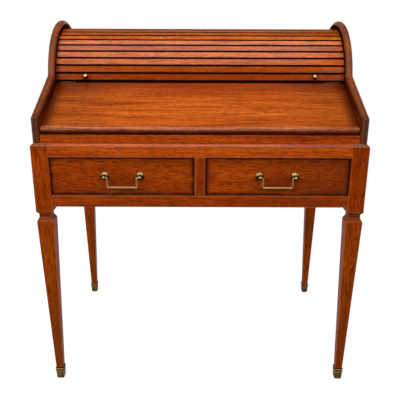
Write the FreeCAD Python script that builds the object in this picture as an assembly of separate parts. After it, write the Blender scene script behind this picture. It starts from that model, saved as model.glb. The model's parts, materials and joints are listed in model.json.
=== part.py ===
import FreeCAD, Part
import math
import os
from FreeCAD import Vector

# A mahogany writing desk: a stand with two drawers on tapered legs, and on it a case with a sloping lid
# and a roll compartment closed by a tambour that turns on a circular track.
# Lengths are millimetres. X runs to the right, Y from the front to the back, Z up from the floor.
# The pieces are laid out from the stand's front plane, and moved at the end so that the origin lies
# under the middle of the desk.

# Stand
frame_width = 900.0
frame_depth = 606.0
frame_top = 739.0
frame_bevel = 6.0
apron_thickness = 22.0
top_rail_height = 36.5
top_rail_depth = 45.0
opening_height = 106.5
bottom_rail_height = 32.0
bottom_rail_depth = 22.0
divider_width = 29.0
edge_radius = 1.2

# Legs
post_size = 45.0
post_height = 191.0
waist_size = 33.0
waist_height = 9.5
waist_upper_bevel = 6.5
waist_lower_bevel = 11.6
shaft_top_size = 45.5
shaft_foot_size = 19.5
leg_ease = 1.5

# Brass sabots: heights are shares of the cup, walls are shares of the cup's wall
sabot_height = 39.0
sabot_floor = 8.0
sabot_wall = 1.6
sabot_fit = 0.1
sabot_ease = 2.5
sabot_toe_size_share = 0.93
sabot_toe_height_share = 0.35
sabot_profile_shares = (
    (0.20, 0.95), (0.60, 1.0), (0.63, 1.6), (0.70, 1.6), (0.73, 0.9),
    (0.81, 0.9), (0.84, 1.6), (0.92, 1.6), (0.95, 0.9), (1.0, 0.9))

# Drawer runners and kickers
runner_height = 20.0
runner_reach = 30.0
guide_height = 22.0
guide_gap = 0.8
slide_gap = 0.3

# Drawers
drawer_recess = 9.0
drawer_reveal = 1.5
drawer_front_thickness = 18.0
drawer_length = 440.0
drawer_side_thickness = 10.0
drawer_side_height = 98.0
drawer_side_inset = 0.5
drawer_back_height = 80.0
drawer_bottom_thickness = 6.0
drawer_bottom_lift = 9.0
groove_depth = 4.0
groove_fit = 0.1

# Brass drawer pulls
pull_spacing = 96.0
pull_reach = 16.0
rose_size = 22.6
rose_rim = 2.0
rose_height = 5.5
rose_top_size = 11.0
rose_sides = 8
stem_radius = 3.2
ball_radius = 5.3
ball_steps = 4
bail_rod_radius = 2.2
bail_leg_inset = 8.5
bail_drop = 27.0
bail_end_reach = 2.6
pin_fit = 0.1

# Case sides
case_inset = 4.4
case_front_setback = 8.0
case_back_setback = 22.0
side_thickness = 20.8
side_edge_ease = 3.5
gallery_front_height = 69.5
gallery_nose_radius = 7.0
gallery_cove_radius = 12.0
gallery_meet_deg = 13.0
arch_radius = 190.0
arch_centre_height = 119.5
arch_margin = 24.0

# Tambour on its circular track
slat_width = 21.3
slat_thickness = 9.0
slat_edge_radius = 3.0
slat_spacing_gap = 0.3
tambour_first_deg = 7.3
tambour_span_deg = 118.0
track_depth = 7.0
track_fit = 0.5
track_overrun_deg = 3.0
tambour_travel_deg = 92.0
canvas_thickness = 0.8
canvas_fit = 0.1
canvas_side_gap = 3.0
canvas_end_gap = 2.0

# Brass tambour knobs
knob_place = 337.0
knob_radius = 6.7
knob_base_radius = 4.6
knob_base_height = 2.0
knob_neck_radius = 2.8
knob_neck_height = 3.4

# Writing lid and its butt hinges
lid_thickness = 18.0
lid_front_height = 38.5
lid_front_setback = 6.5
lid_side_gap = 1.5
lid_tambour_gap = 2.6
lid_back_drop = 3.2
lid_nose_radius = 7.0
hinge_gap = 3.0
hinge_place = 392.0
hinge_length = 46.0
hinge_barrel_radius = 2.5
hinge_axis_drop = 1.2
hinge_leaf_thickness = 1.3
hinge_leaf_height = 15.0
hinge_pin_radius = 1.2
hinge_seat_gap = 0.35
knuckle_gap = 0.3
knuckle_count = 3

# Boards inside the case
case_bottom_thickness = 8.0
well_rail_setback = 4.0
well_rail_depth = 22.0
well_rail_lip_depth = 12.5
well_rail_shadow_gap = 1.0
lid_rest_gap = 0.3
well_back_thickness = 14.0
hinge_rail_height = 32.0
hinge_rail_depth = 26.0
tambour_rest_gap = 0.4
floor_thickness = 10.0
compartment_clearance = 3.0
rack_board_thickness = 8.0
rack_back_thickness = 5.0
rack_back_reach = 95.4
rack_depth = 130.0
rack_divider_count = 5
back_board_thickness = 12.0
bent_back_gap = 2.5
bent_back_thickness = 6.0
bent_back_overlap_deg = 13.5

# Cuts run past the faces that they open by this much
overrun = 1.0
plane_tolerance = 1e-4

# Places that several pieces share
half_width = frame_width / 2
post_inner_x = half_width - post_size
post_foot = frame_top - post_height
shaft_top = post_foot - waist_upper_bevel - waist_height - waist_lower_bevel
opening_top = frame_top - top_rail_height
opening_bottom = opening_top - opening_height
apron_bottom = opening_bottom - bottom_rail_height
apron_inner_x = half_width - apron_thickness
back_apron_y = frame_depth - apron_thickness
side_outer_x = half_width - case_inset
side_inner_x = side_outer_x - side_thickness
case_back_y = frame_depth - case_back_setback
arch_y = case_back_y - arch_radius
arch_z = frame_top + arch_centre_height
tambour_radius = arch_radius - arch_margin
slat_inner_radius = tambour_radius - slat_thickness
slat_pitch_deg = math.degrees((slat_width + slat_spacing_gap) / slat_inner_radius)
slat_count = round(tambour_span_deg / slat_pitch_deg)
tambour_last_deg = tambour_first_deg + slat_count * slat_pitch_deg
case_bottom_top = frame_top + case_bottom_thickness
pull_proud = pull_reach + ball_radius - drawer_recess
centre_y = (frame_depth - pull_proud) / 2


def save(name, shape):
    """Write one piece, moved so that the desk's middle is over the origin."""
    placed = shape.copy()
    placed.translate(Vector(0, -centre_y, 0))
    placed.exportStep(os.path.join("parts", name + ".step"))


def block(x0, x1, y0, y1, z0, z1):
    """A board between two values on each axis."""
    return Part.makeBox(x1 - x0, y1 - y0, z1 - z0, Vector(x0, y0, z0))


def mirrored(shape):
    """The left-hand twin of a right-hand piece."""
    return shape.mirror(Vector(0, 0, 0), Vector(1, 0, 0))


def line(a, b):
    return Part.LineSegment(a, b).toShape()


def arc(a, middle, b):
    return Part.Arc(a, middle, b).toShape()


def prism(edges, length):
    """Carry a closed outline in a YZ plane along X."""
    return Part.Face(Part.Wire(edges)).extrude(Vector(length, 0, 0))


def polygon_prism(points, x0, x1):
    """Carry a YZ polygon from x0 to x1."""
    corners = [Vector(x0, y, z) for y, z in points]
    return Part.Face(Part.makePolygon(corners + corners[:1])).extrude(Vector(x1 - x0, 0, 0))


def edges_in_plane(shape, axis, position):
    """The edges of a shape that lie in the plane axis = position."""
    low, high = axis + "Min", axis + "Max"
    return [edge for edge in shape.Edges
            if abs(getattr(edge.BoundBox, low) - position) < plane_tolerance
            and abs(getattr(edge.BoundBox, high) - position) < plane_tolerance]


def eased_front(shape, radius):
    """Round the edges of a piece's front face."""
    return shape.makeFillet(radius, edges_in_plane(shape, "Y", shape.BoundBox.YMin))


def bevel_along_x(face_y, inward):
    """A cutter for the sloping top edge of the stand's front or back."""
    low = face_y - inward * overrun
    high = face_y + inward * (frame_bevel + overrun)
    top = frame_top + overrun
    corners = ((low, frame_top - frame_bevel - overrun), (high, top), (low, top))
    return polygon_prism(corners, -half_width - overrun, half_width + overrun)


def bevel_along_y():
    """The same cutter for the right-hand side of the stand."""
    cutter = bevel_along_x(0, 1)
    cutter.rotate(Vector(0, 0, 0), Vector(0, 0, 1), 90)
    cutter.translate(Vector(half_width, frame_depth / 2, 0))
    return cutter


def ringed_solid(rings):
    """A closed solid of flat faces through rings of corners, each ring at one level."""
    faces = [Part.Face(Part.makePolygon(ring + ring[:1])) for ring in (rings[0], rings[-1])]
    for lower, upper in zip(rings, rings[1:]):
        for index in range(len(lower)):
            after = (index + 1) % len(lower)
            corners = [lower[index], lower[after], upper[after], upper[index]]
            faces.append(Part.Face(Part.makePolygon(corners + corners[:1])))
    return Part.Solid(Part.Shell(faces))


def square_column(middle_x, middle_y, sections, ease):
    """A square column with eased corners through (height, size) sections."""
    rings = []
    for height, size in sections:
        half = size / 2
        flat = half - ease
        ring = []
        for turn in range(4):
            spin = FreeCAD.Rotation(Vector(0, 0, 1), 90 * turn)
            for corner in (Vector(half, -flat, height), Vector(half, flat, height)):
                ring.append(spin.multVec(corner) + Vector(middle_x, middle_y, 0))
        rings.append(ring)
    return ringed_solid(rings)


def ball_profile(centre, radius, first_deg):
    """The outline of a turned ball, as (radius, height) steps from its neck to its top."""
    points = []
    for step in range(ball_steps + 1):
        angle = math.radians(first_deg + (90 - first_deg) * step / ball_steps)
        points.append((radius * math.cos(angle), centre + radius * math.sin(angle)))
    return points[:-1] + [(0, centre + radius)]


def turned_piece(profile, foot):
    """Turn a (radius, height) outline about the line that runs forwards from its foot."""
    corners = [foot + Vector(radius, -height, 0) for radius, height in profile]
    face = Part.Face(Part.makePolygon(corners + corners[:1]))
    return face.revolve(foot, Vector(0, -1, 0), 360)


# Legs and sabots

leg_x = half_width - post_size / 2


def shaft_size_at(height):
    """The tapered shaft's width at a height."""
    share = (height - sabot_floor) / (shaft_top - sabot_floor)
    return shaft_foot_size + share * (shaft_top_size - shaft_foot_size)


def leg(leg_y, face_y, inward):
    """A right-hand leg: tapered shaft, waist and square post, bevelled on its two outer top edges."""
    waist_bottom = shaft_top + waist_lower_bevel
    sections = (
        (sabot_floor, shaft_foot_size), (shaft_top, shaft_top_size), (waist_bottom, waist_size),
        (waist_bottom + waist_height, waist_size), (post_foot, post_size), (frame_top, post_size))
    column = square_column(leg_x, leg_y, sections, leg_ease)
    return column.cut(bevel_along_x(face_y, inward)).cut(bevel_along_y())


def sabot(leg_y):
    """A brass cup on a right-hand leg's end, with two raised bands and a rounded toe."""
    toe_size = shaft_foot_size * sabot_toe_size_share
    sections = [(0, toe_size), (sabot_floor * sabot_toe_height_share, shaft_foot_size + sabot_wall)]
    for height_share, wall_share in sabot_profile_shares:
        height = height_share * sabot_height
        sections.append((height, shaft_size_at(height) + 2 * (sabot_fit + sabot_wall * wall_share)))
    cup = square_column(leg_x, leg_y, sections, sabot_ease)
    top = sabot_height + overrun
    socket = ((sabot_floor, shaft_foot_size + 2 * sabot_fit), (top, shaft_size_at(top) + 2 * sabot_fit))
    return cup.cut(square_column(leg_x, leg_y, socket, leg_ease))


def build_legs():
    front_y = post_size / 2
    back_y = frame_depth - post_size / 2
    front = leg(front_y, 0, 1)
    back = leg(back_y, frame_depth, -1)
    save("leg_front_right", front)
    save("leg_front_left", mirrored(front))
    save("leg_back_right", back)
    save("leg_back_left", mirrored(back))
    right_cups = [sabot(front_y), sabot(back_y)]
    save("sabots", Part.makeCompound(right_cups + [mirrored(cup) for cup in right_cups]))


# Rails and aprons of the stand


def build_rails():
    half_divider = divider_width / 2
    top_rail = block(-post_inner_x, post_inner_x, 0, top_rail_depth, opening_top, frame_top)
    save("frieze_top_rail", top_rail.cut(bevel_along_x(0, 1)))
    bottom_rail = block(-post_inner_x, post_inner_x, 0, bottom_rail_depth, apron_bottom, opening_bottom)
    save("frieze_bottom_rail", eased_front(bottom_rail, edge_radius))
    save("drawer_divider", block(
        -half_divider, half_divider, 0, bottom_rail_depth, opening_bottom, opening_top))
    side = block(apron_inner_x, half_width, post_size, frame_depth - post_size, apron_bottom, frame_top)
    side = side.cut(bevel_along_y())
    save("side_apron_right", side)
    save("side_apron_left", mirrored(side))
    back = block(-post_inner_x, post_inner_x, back_apron_y, frame_depth, apron_bottom, frame_top)
    save("back_apron", back.cut(bevel_along_x(frame_depth, -1)))


# Drawer runners and kickers

drawer_low_x = divider_width / 2 + drawer_reveal
drawer_high_x = post_inner_x - drawer_reveal
drawer_side_low_x = drawer_low_x + drawer_side_inset
drawer_side_high_x = drawer_high_x - drawer_side_inset


def runner(inner_x, guide_x, outer_x, y0, y1):
    """A ledge that carries a drawer's side, with a guide strip that keeps the side in line."""
    ledge = block(inner_x, outer_x, y0, y1, opening_bottom - runner_height, opening_bottom)
    guide = block(guide_x, outer_x, y0, y1, opening_bottom, opening_bottom + guide_height)
    return ledge.fuse(guide).removeSplitter()


def build_runners():
    between_posts = (post_size, frame_depth - post_size)
    reach_x = post_inner_x - runner_reach
    side = runner(reach_x, drawer_side_high_x + guide_gap, apron_inner_x, *between_posts)
    save("drawer_runner_right", side)
    save("drawer_runner_left", mirrored(side))
    half = divider_width / 2 + runner_reach
    half_guide = drawer_side_low_x - guide_gap
    ledge = block(
        -half, half, bottom_rail_depth, back_apron_y,
        opening_bottom - runner_height, opening_bottom)
    guide = block(
        -half_guide, half_guide, bottom_rail_depth, back_apron_y,
        opening_bottom, opening_bottom + guide_height)
    save("drawer_runner_centre", ledge.fuse(guide).removeSplitter())
    side_kicker = block(reach_x, apron_inner_x, *between_posts, opening_top, frame_top)
    centre_kicker = block(-half, half, top_rail_depth, back_apron_y, opening_top, frame_top)
    save("drawer_kickers", Part.makeCompound([side_kicker, mirrored(side_kicker), centre_kicker]))


# Drawers

drawer_front_y = drawer_recess
drawer_box_y = drawer_front_y + drawer_front_thickness
drawer_back_y = drawer_box_y + drawer_length
drawer_side_bottom = opening_bottom + slide_gap
drawer_floor_bottom = drawer_side_bottom + drawer_bottom_lift
pull_x = (drawer_low_x + drawer_high_x) / 2
pull_z = (opening_bottom + opening_top) / 2
bail_axis_y = drawer_front_y - pull_reach


def drawer_side(outer_x, inward):
    """A drawer's side board, grooved on its inner face for the bottom."""
    inner_x = outer_x + inward * drawer_side_thickness
    low, high = sorted((outer_x, inner_x))
    top = drawer_side_bottom + drawer_side_height
    board = block(low, high, drawer_box_y, drawer_back_y, drawer_side_bottom, top)
    groove_low, groove_high = sorted((inner_x - inward * groove_depth, inner_x + inward * overrun))
    groove = block(
        groove_low, groove_high, drawer_box_y - overrun, drawer_back_y + overrun,
        drawer_floor_bottom - groove_fit, drawer_floor_bottom + drawer_bottom_thickness + groove_fit)
    return board.cut(groove)


def pull_post(x, towards_bail):
    """An octagonal rose with a stem and a drilled ball, in which one end of the bail turns."""
    face = Vector(x, drawer_front_y, pull_z)
    rings = []
    for depth, size in ((0, rose_size), (rose_rim, rose_size), (rose_height, rose_top_size)):
        ring = []
        for step in range(rose_sides):
            angle = 2 * math.pi * (step + 0.5) / rose_sides
            reach = size / 2 / math.cos(math.pi / rose_sides)
            ring.append(face + Vector(reach * math.cos(angle), -depth, reach * math.sin(angle)))
        rings.append(ring)
    neck_deg = -math.degrees(math.acos(stem_radius / ball_radius))
    post = turned_piece(
        [(0, 0), (stem_radius, 0)] + ball_profile(pull_reach, ball_radius, neck_deg), face)
    end = bail_end_reach + pin_fit
    start = Vector(x - towards_bail * end, bail_axis_y, pull_z)
    hole = Part.makeCylinder(
        bail_rod_radius + pin_fit, ball_radius + end + overrun, start, Vector(towards_bail, 0, 0))
    return ringed_solid(rings).fuse(post).removeSplitter().cut(hole)


def bail(middle_x):
    """A square-cornered rod handle: its out-turned ends sit in the balls of the two posts."""
    half_legs = pull_spacing / 2 - bail_leg_inset
    half_ends = pull_spacing / 2 + bail_end_reach
    bar_z = pull_z - bail_drop
    route = [
        Vector(-half_ends, 0, pull_z), Vector(-half_legs, 0, pull_z), Vector(-half_legs, 0, bar_z),
        Vector(half_legs, 0, bar_z), Vector(half_legs, 0, pull_z), Vector(half_ends, 0, pull_z)]
    route = [p + Vector(middle_x, bail_axis_y, 0) for p in route]
    section = Part.Wire(Part.makeCircle(bail_rod_radius, route[0], Vector(1, 0, 0)))
    square_corners = 1
    return Part.makePolygon(route).makePipeShell([section], True, False, square_corners)


def build_drawer(side_name, hand):
    """One drawer with its pull. The left one is the right one's twin."""
    front = block(
        drawer_low_x, drawer_high_x, drawer_front_y, drawer_box_y,
        opening_bottom + drawer_reveal, opening_top - drawer_reveal)
    sides = [drawer_side(drawer_side_low_x, 1), drawer_side(drawer_side_high_x, -1)]
    inner_low = drawer_side_low_x + drawer_side_thickness
    inner_high = drawer_side_high_x - drawer_side_thickness
    floor_top = drawer_floor_bottom + drawer_bottom_thickness
    back = block(
        inner_low, inner_high, drawer_back_y - drawer_side_thickness, drawer_back_y,
        floor_top, floor_top + drawer_back_height)
    let_in = groove_depth - groove_fit
    floor = block(
        inner_low - let_in, inner_high + let_in, drawer_box_y, drawer_back_y, drawer_floor_bottom, floor_top)
    posts = [pull_post(pull_x - pull_spacing / 2, 1), pull_post(pull_x + pull_spacing / 2, -1)]
    pieces = {
        "front": eased_front(front, edge_radius), "sides": Part.makeCompound(sides), "back": back,
        "bottom": floor, "pull_posts": Part.makeCompound(posts), "bail": bail(pull_x)}
    for name, shape in pieces.items():
        save("drawer_" + side_name + "_" + name, shape if hand > 0 else mirrored(shape))


# Case sides


def arch_point(x, radius, degrees):
    """A point on a circle about the arch's axis, counted from the front over the top."""
    angle = math.radians(degrees)
    return Vector(x, arch_y - radius * math.cos(angle), arch_z + radius * math.sin(angle))


def arch_sector(x0, x1, inner_radius, outer_radius, first_deg, last_deg):
    """A bent board or groove between two radii and two angles."""
    middle = (first_deg + last_deg) / 2
    a, b, c = [arch_point(x0, inner_radius, degrees) for degrees in (first_deg, middle, last_deg)]
    d, e, f = [arch_point(x0, outer_radius, degrees) for degrees in (last_deg, middle, first_deg)]
    return prism([arc(a, b, c), line(c, d), arc(d, e, f), line(f, a)], x1 - x0)


def gallery_corner(x, front_y, front_z, slope):
    """The rounded corner where the gallery's front edge turns into its slope: start, middle, end."""
    turn = math.pi / 2 - slope
    cut = gallery_nose_radius * math.tan(turn / 2)
    centre = Vector(x, front_y + gallery_nose_radius, front_z - cut)
    start = Vector(x, front_y, front_z - cut)
    rays = [math.pi - turn * share for share in (0.5, 1.0)]
    middle, end = [
        centre + Vector(0, math.cos(ray), math.sin(ray)) * gallery_nose_radius for ray in rays]
    return start, middle, end


def gallery_cove(x, front_y, front_z, slope):
    """The hollow where the gallery's slope runs into the arch: start, middle, end."""
    along = Vector(0, math.cos(slope), math.sin(slope))
    normal = Vector(0, -math.sin(slope), math.cos(slope))
    centre_of_arch = Vector(x, arch_y, arch_z)
    base = Vector(x, front_y, front_z) + normal * gallery_cove_radius
    to_arch = centre_of_arch - base
    across = to_arch.dot(normal)
    reach = arch_radius + gallery_cove_radius
    centre = base + along * (to_arch.dot(along) - math.sqrt(reach * reach - across * across))
    to_end = (centre_of_arch - centre).normalize()
    start = centre - normal * gallery_cove_radius
    end = centre + to_end * gallery_cove_radius
    middle = centre + (to_end - normal).normalize() * gallery_cove_radius
    return start, middle, end


def case_side():
    """The right-hand side panel: gallery, arch, rounded edges, and the tambour's track inside."""
    x = side_inner_x
    front_y = case_front_setback
    front_z = frame_top + gallery_front_height
    meet = arch_point(x, arch_radius, gallery_meet_deg)
    slope = math.atan2(meet.z - front_z, meet.y - front_y)
    nose = gallery_corner(x, front_y, front_z, slope)
    cove = gallery_cove(x, front_y, front_z, slope)
    crown = arch_point(x, arch_radius, 90)
    back_top = arch_point(x, arch_radius, 180)
    front_foot = Vector(x, front_y, frame_top)
    back_foot = Vector(x, case_back_y, frame_top)
    outline = [
        line(front_foot, nose[0]), arc(*nose), line(nose[2], cove[0]), arc(*cove),
        arc(cove[2], crown, back_top), line(back_top, back_foot), line(back_foot, front_foot)]
    panel = prism(outline, side_thickness)
    rim = [edge for face_x in (side_inner_x, side_outer_x) for edge in edges_in_plane(panel, "X", face_x)
           if edge.BoundBox.ZMax > frame_top + plane_tolerance]
    panel = panel.makeChamfer(side_edge_ease, rim)
    track = arch_sector(
        side_inner_x - overrun, side_inner_x + track_depth,
        slat_inner_radius - track_fit, tambour_radius + track_fit,
        tambour_first_deg - track_overrun_deg,
        tambour_last_deg + tambour_travel_deg + track_overrun_deg)
    return panel.cut(track)


# Tambour


def slat_section(x):
    """A slat's outline at the front of the circle: flat back, outer face with rounded edges."""
    half = slat_width / 2
    inner = arch_y - slat_inner_radius
    outer = arch_y - tambour_radius
    r = slat_edge_radius
    bulge = r * (1 - math.sqrt(0.5))
    points = [
        (inner, -half), (inner, half), (outer + r, half), (outer + bulge, half - bulge), (outer, half - r),
        (outer, r - half), (outer + bulge, bulge - half), (outer + r, -half)]
    p = [Vector(x, y, arch_z + z) for y, z in points]
    return [
        line(p[0], p[1]), line(p[1], p[2]), arc(p[2], p[3], p[4]), line(p[4], p[5]),
        arc(p[5], p[6], p[7]), line(p[7], p[0])]


def along_track(shape, degrees):
    """Carry a piece along the track, from the front towards the top."""
    placed = shape.copy()
    placed.rotate(Vector(0, arch_y, arch_z), Vector(1, 0, 0), -degrees)
    return placed


def tambour_knob(x):
    """A turned brass knob on the outer face of the lead rail: foot, neck and ball."""
    neck_deg = -math.degrees(math.acos(knob_neck_radius / knob_radius))
    ball_centre = knob_neck_height + knob_radius * math.sin(math.radians(-neck_deg))
    profile = [
        (0, 0), (knob_base_radius, 0), (knob_base_radius, knob_base_height),
        (knob_neck_radius, knob_base_height)]
    return turned_piece(
        profile + ball_profile(ball_centre, knob_radius, neck_deg),
        Vector(x, arch_y - tambour_radius, arch_z))


def build_tambour():
    reach = side_inner_x + track_depth - track_fit
    slat = prism(slat_section(-reach), 2 * reach)
    half_pitch = slat_pitch_deg / 2
    for index in range(slat_count):
        name = "tambour_slat_%02d" % (index + 1) if index else "tambour_lead_rail"
        save(name, along_track(slat, tambour_first_deg + half_pitch + index * slat_pitch_deg))
    half_canvas = side_inner_x - canvas_side_gap
    outer = slat_inner_radius - canvas_fit
    end_deg = math.degrees(canvas_end_gap / outer)
    save("tambour_canvas", arch_sector(
        -half_canvas, half_canvas, outer - canvas_thickness, outer,
        tambour_first_deg + end_deg, tambour_last_deg - end_deg))
    knobs = [along_track(tambour_knob(x), tambour_first_deg + half_pitch) for x in (-knob_place, knob_place)]
    save("tambour_knobs", Part.makeCompound(knobs))


# Writing lid: places on it are counted forwards from its back edge and up from its top face

lead_rail_deg = math.radians(tambour_first_deg + slat_pitch_deg / 2)
lead_rail_foot_z = (arch_z + slat_inner_radius * math.sin(lead_rail_deg)
                    - slat_width / 2 * math.cos(lead_rail_deg))
lead_rail_front_y = (arch_y - tambour_radius * math.cos(lead_rail_deg)
                     - slat_width / 2 * math.sin(lead_rail_deg))
lid_back_y = lead_rail_front_y - lid_tambour_gap
lid_back_z = lead_rail_foot_z - lid_back_drop
lid_front_y = case_front_setback + lid_front_setback
lid_slope = math.atan2(lid_back_z - frame_top - lid_front_height, lid_back_y - lid_front_y)
lid_length = (lid_back_y - lid_front_y) / math.cos(lid_slope)
hinge_rail_top = lead_rail_foot_z - tambour_rest_gap


def lid_point(x, forward, up):
    """A point given in the lid's own directions."""
    y = lid_back_y - forward * math.cos(lid_slope) - up * math.sin(lid_slope)
    return Vector(x, y, lid_back_z - forward * math.sin(lid_slope) + up * math.cos(lid_slope))


def lid_underside_z(y):
    """The height of the lid's lower face over a depth."""
    return lid_back_z - (lid_back_y - y) * math.tan(lid_slope) - lid_thickness / math.cos(lid_slope)


def lid_plate(x0, x1, forward0, forward1, up0, up1):
    """A plate square to the lid."""
    corners = [lid_point(x0, *place) for place in (
        (forward0, up0), (forward1, up0), (forward1, up1), (forward0, up1))]
    return Part.Face(Part.makePolygon(corners + corners[:1])).extrude(Vector(x1 - x0, 0, 0))


def hinge_cylinder(radius, x0, x1):
    """A cylinder on the lid's hinge axis."""
    return Part.makeCylinder(
        radius, x1 - x0, lid_point(x0, -hinge_gap / 2, -hinge_axis_drop), Vector(1, 0, 0))


def hinge_seats():
    """The hollows that the two hinges' barrels lie in."""
    radius = hinge_barrel_radius + hinge_seat_gap
    half = hinge_length / 2 + knuckle_gap
    seats = [hinge_cylinder(radius, x - half, x + half) for x in (-hinge_place, hinge_place)]
    return Part.makeCompound(seats)


def hinge_leaf(x, forward0, forward1, knuckles):
    """One leaf of a butt hinge with the knuckles that belong to it."""
    start = x - hinge_length / 2
    end = start + hinge_length
    leaf_top = -hinge_axis_drop - hinge_barrel_radius - hinge_seat_gap
    pieces = [lid_plate(
        start, end, forward0, forward1, leaf_top - hinge_leaf_height, leaf_top)]
    pitch = hinge_length / knuckle_count
    for index in knuckles:
        low = start + index * pitch + knuckle_gap / 2
        high = low + pitch - knuckle_gap
        pieces.append(lid_plate(low, high, forward0, forward1, leaf_top, -hinge_axis_drop))
        pieces.append(hinge_cylinder(hinge_barrel_radius, low, high))
    leaf = pieces[0].fuse(pieces[1:]).removeSplitter()
    return leaf.cut(hinge_cylinder(hinge_pin_radius + pin_fit, start - overrun, end + overrun))


def build_lid():
    half = side_inner_x - lid_side_gap
    r = lid_nose_radius
    bulge = r * (1 - math.sqrt(0.5))
    places = [
        (0, 0), (lid_length - r, 0), (lid_length - bulge, -bulge), (lid_length, -r),
        (lid_length, r - lid_thickness), (lid_length - bulge, bulge - lid_thickness),
        (lid_length - r, -lid_thickness), (0, -lid_thickness)]
    p = [lid_point(-half, *place) for place in places]
    outline = [
        line(p[0], p[1]), arc(p[1], p[2], p[3]), line(p[3], p[4]), arc(p[4], p[5], p[6]),
        line(p[6], p[7]), line(p[7], p[0])]
    save("writing_lid", prism(outline, 2 * half).cut(hinge_seats()))
    ends = (-hinge_place, hinge_place)
    lid_leaves = [hinge_leaf(x, -hinge_leaf_thickness, 0, (1,)) for x in ends]
    rail_leaves = [hinge_leaf(x, -hinge_gap, hinge_leaf_thickness - hinge_gap, (0, 2)) for x in ends]
    half_pin = hinge_length / 2
    pins = [hinge_cylinder(hinge_pin_radius, x - half_pin, x + half_pin) for x in ends]
    save("lid_hinge_lid_leaves", Part.makeCompound(lid_leaves))
    save("lid_hinge_rail_leaves", Part.makeCompound(rail_leaves))
    save("lid_hinge_pins", Part.makeCompound(pins))


# Boards inside the case


def build_well():
    """The shallow well under the lid: front rail, back board, and the rail that carries the hinges."""
    x = side_inner_x
    rail_y = case_front_setback + well_rail_setback
    lip_y = rail_y + well_rail_lip_depth
    rail_back = rail_y + well_rail_depth
    lip_z = lid_underside_z(lip_y) - well_rail_shadow_gap
    section = (
        (rail_y, frame_top), (rail_y, lip_z), (lip_y, lip_z), (lip_y, lid_underside_z(lip_y) - lid_rest_gap),
        (rail_back, lid_underside_z(rail_back) - lid_rest_gap), (rail_back, frame_top))
    save("well_front_rail", eased_front(polygon_prism(section, -x, x), edge_radius))
    face_top = lid_point(0, -hinge_gap, 0)
    face_top = face_top + Vector(0, -math.sin(lid_slope), math.cos(lid_slope)) * (
        (hinge_rail_top - face_top.z) / math.cos(lid_slope))
    face_foot = lid_point(0, -hinge_gap, -lid_thickness - hinge_gap)
    foot_z = hinge_rail_top - hinge_rail_height
    hinge_rail_back = face_foot.y + hinge_rail_depth
    section = (
        (face_top.y, face_top.z), (face_foot.y, face_foot.z), (face_foot.y, foot_z),
        (hinge_rail_back, foot_z), (hinge_rail_back, hinge_rail_top))
    save("hinge_rail", polygon_prism(section, -x, x).cut(hinge_seats()))
    well_back_y = face_foot.y + well_back_thickness
    save("well_back", block(-x, x, face_foot.y, well_back_y, case_bottom_top, foot_z))
    return rail_back, hinge_rail_back


def build_compartment(hinge_rail_back):
    """The floor under the tambour and the stationery rack on it, clear of the tambour's path."""
    x = side_inner_x
    clear = slat_inner_radius - canvas_fit - canvas_thickness - compartment_clearance

    floor_z = hinge_rail_top
    floor_back_y = arch_y + math.sqrt(clear * clear - (floor_z - arch_z) ** 2)
    save("compartment_floor", block(
        -x, x, hinge_rail_back, floor_back_y, floor_z - floor_thickness, floor_z))
    rack_top = arch_z + math.sqrt(clear * clear - rack_back_reach * rack_back_reach)
    divider_top = rack_top - rack_board_thickness
    rack_back_y = arch_y + rack_back_reach
    board_back_y = rack_back_y - rack_back_thickness
    rack_y = rack_back_y - rack_depth
    save("rack_back", block(-x, x, board_back_y, rack_back_y, floor_z, rack_top))
    save("rack_top", eased_front(block(-x, x, rack_y, board_back_y, divider_top, rack_top), edge_radius))
    pitch = 2 * x / (rack_divider_count + 1)
    dividers = []
    for index in range(rack_divider_count):
        low = pitch * (index + 1) - x - rack_board_thickness / 2
        board = block(low, low + rack_board_thickness, rack_y, board_back_y, floor_z, divider_top)
        dividers.append(board)
    save("rack_dividers", Part.makeCompound(dividers))


def build_case():
    side = case_side()
    save("case_side_right", side)
    save("case_side_left", mirrored(side))
    rail_back, hinge_rail_back = build_well()
    build_compartment(hinge_rail_back)
    x = side_inner_x
    inner_radius = tambour_radius + bent_back_gap
    outer_radius = inner_radius + bent_back_thickness
    back_y = arch_y + inner_radius
    first_deg = tambour_last_deg - bent_back_overlap_deg
    save("bent_back", arch_sector(-x, x, inner_radius, outer_radius, first_deg, 180))
    save("case_back", block(-x, x, back_y, back_y + back_board_thickness, case_bottom_top, arch_z))
    save("case_bottom", block(-x, x, rail_back, case_back_y, frame_top, case_bottom_top))


os.makedirs("parts", exist_ok=True)
build_legs()
build_rails()
build_runners()
build_drawer("right", 1)
build_drawer("left", -1)
build_case()
build_tambour()
build_lid()
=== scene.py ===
import json
import math
from collections import namedtuple

import bpy
import numpy as np
from mathutils import Matrix, Vector
from mathutils.geometry import tessellate_polygon


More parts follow.
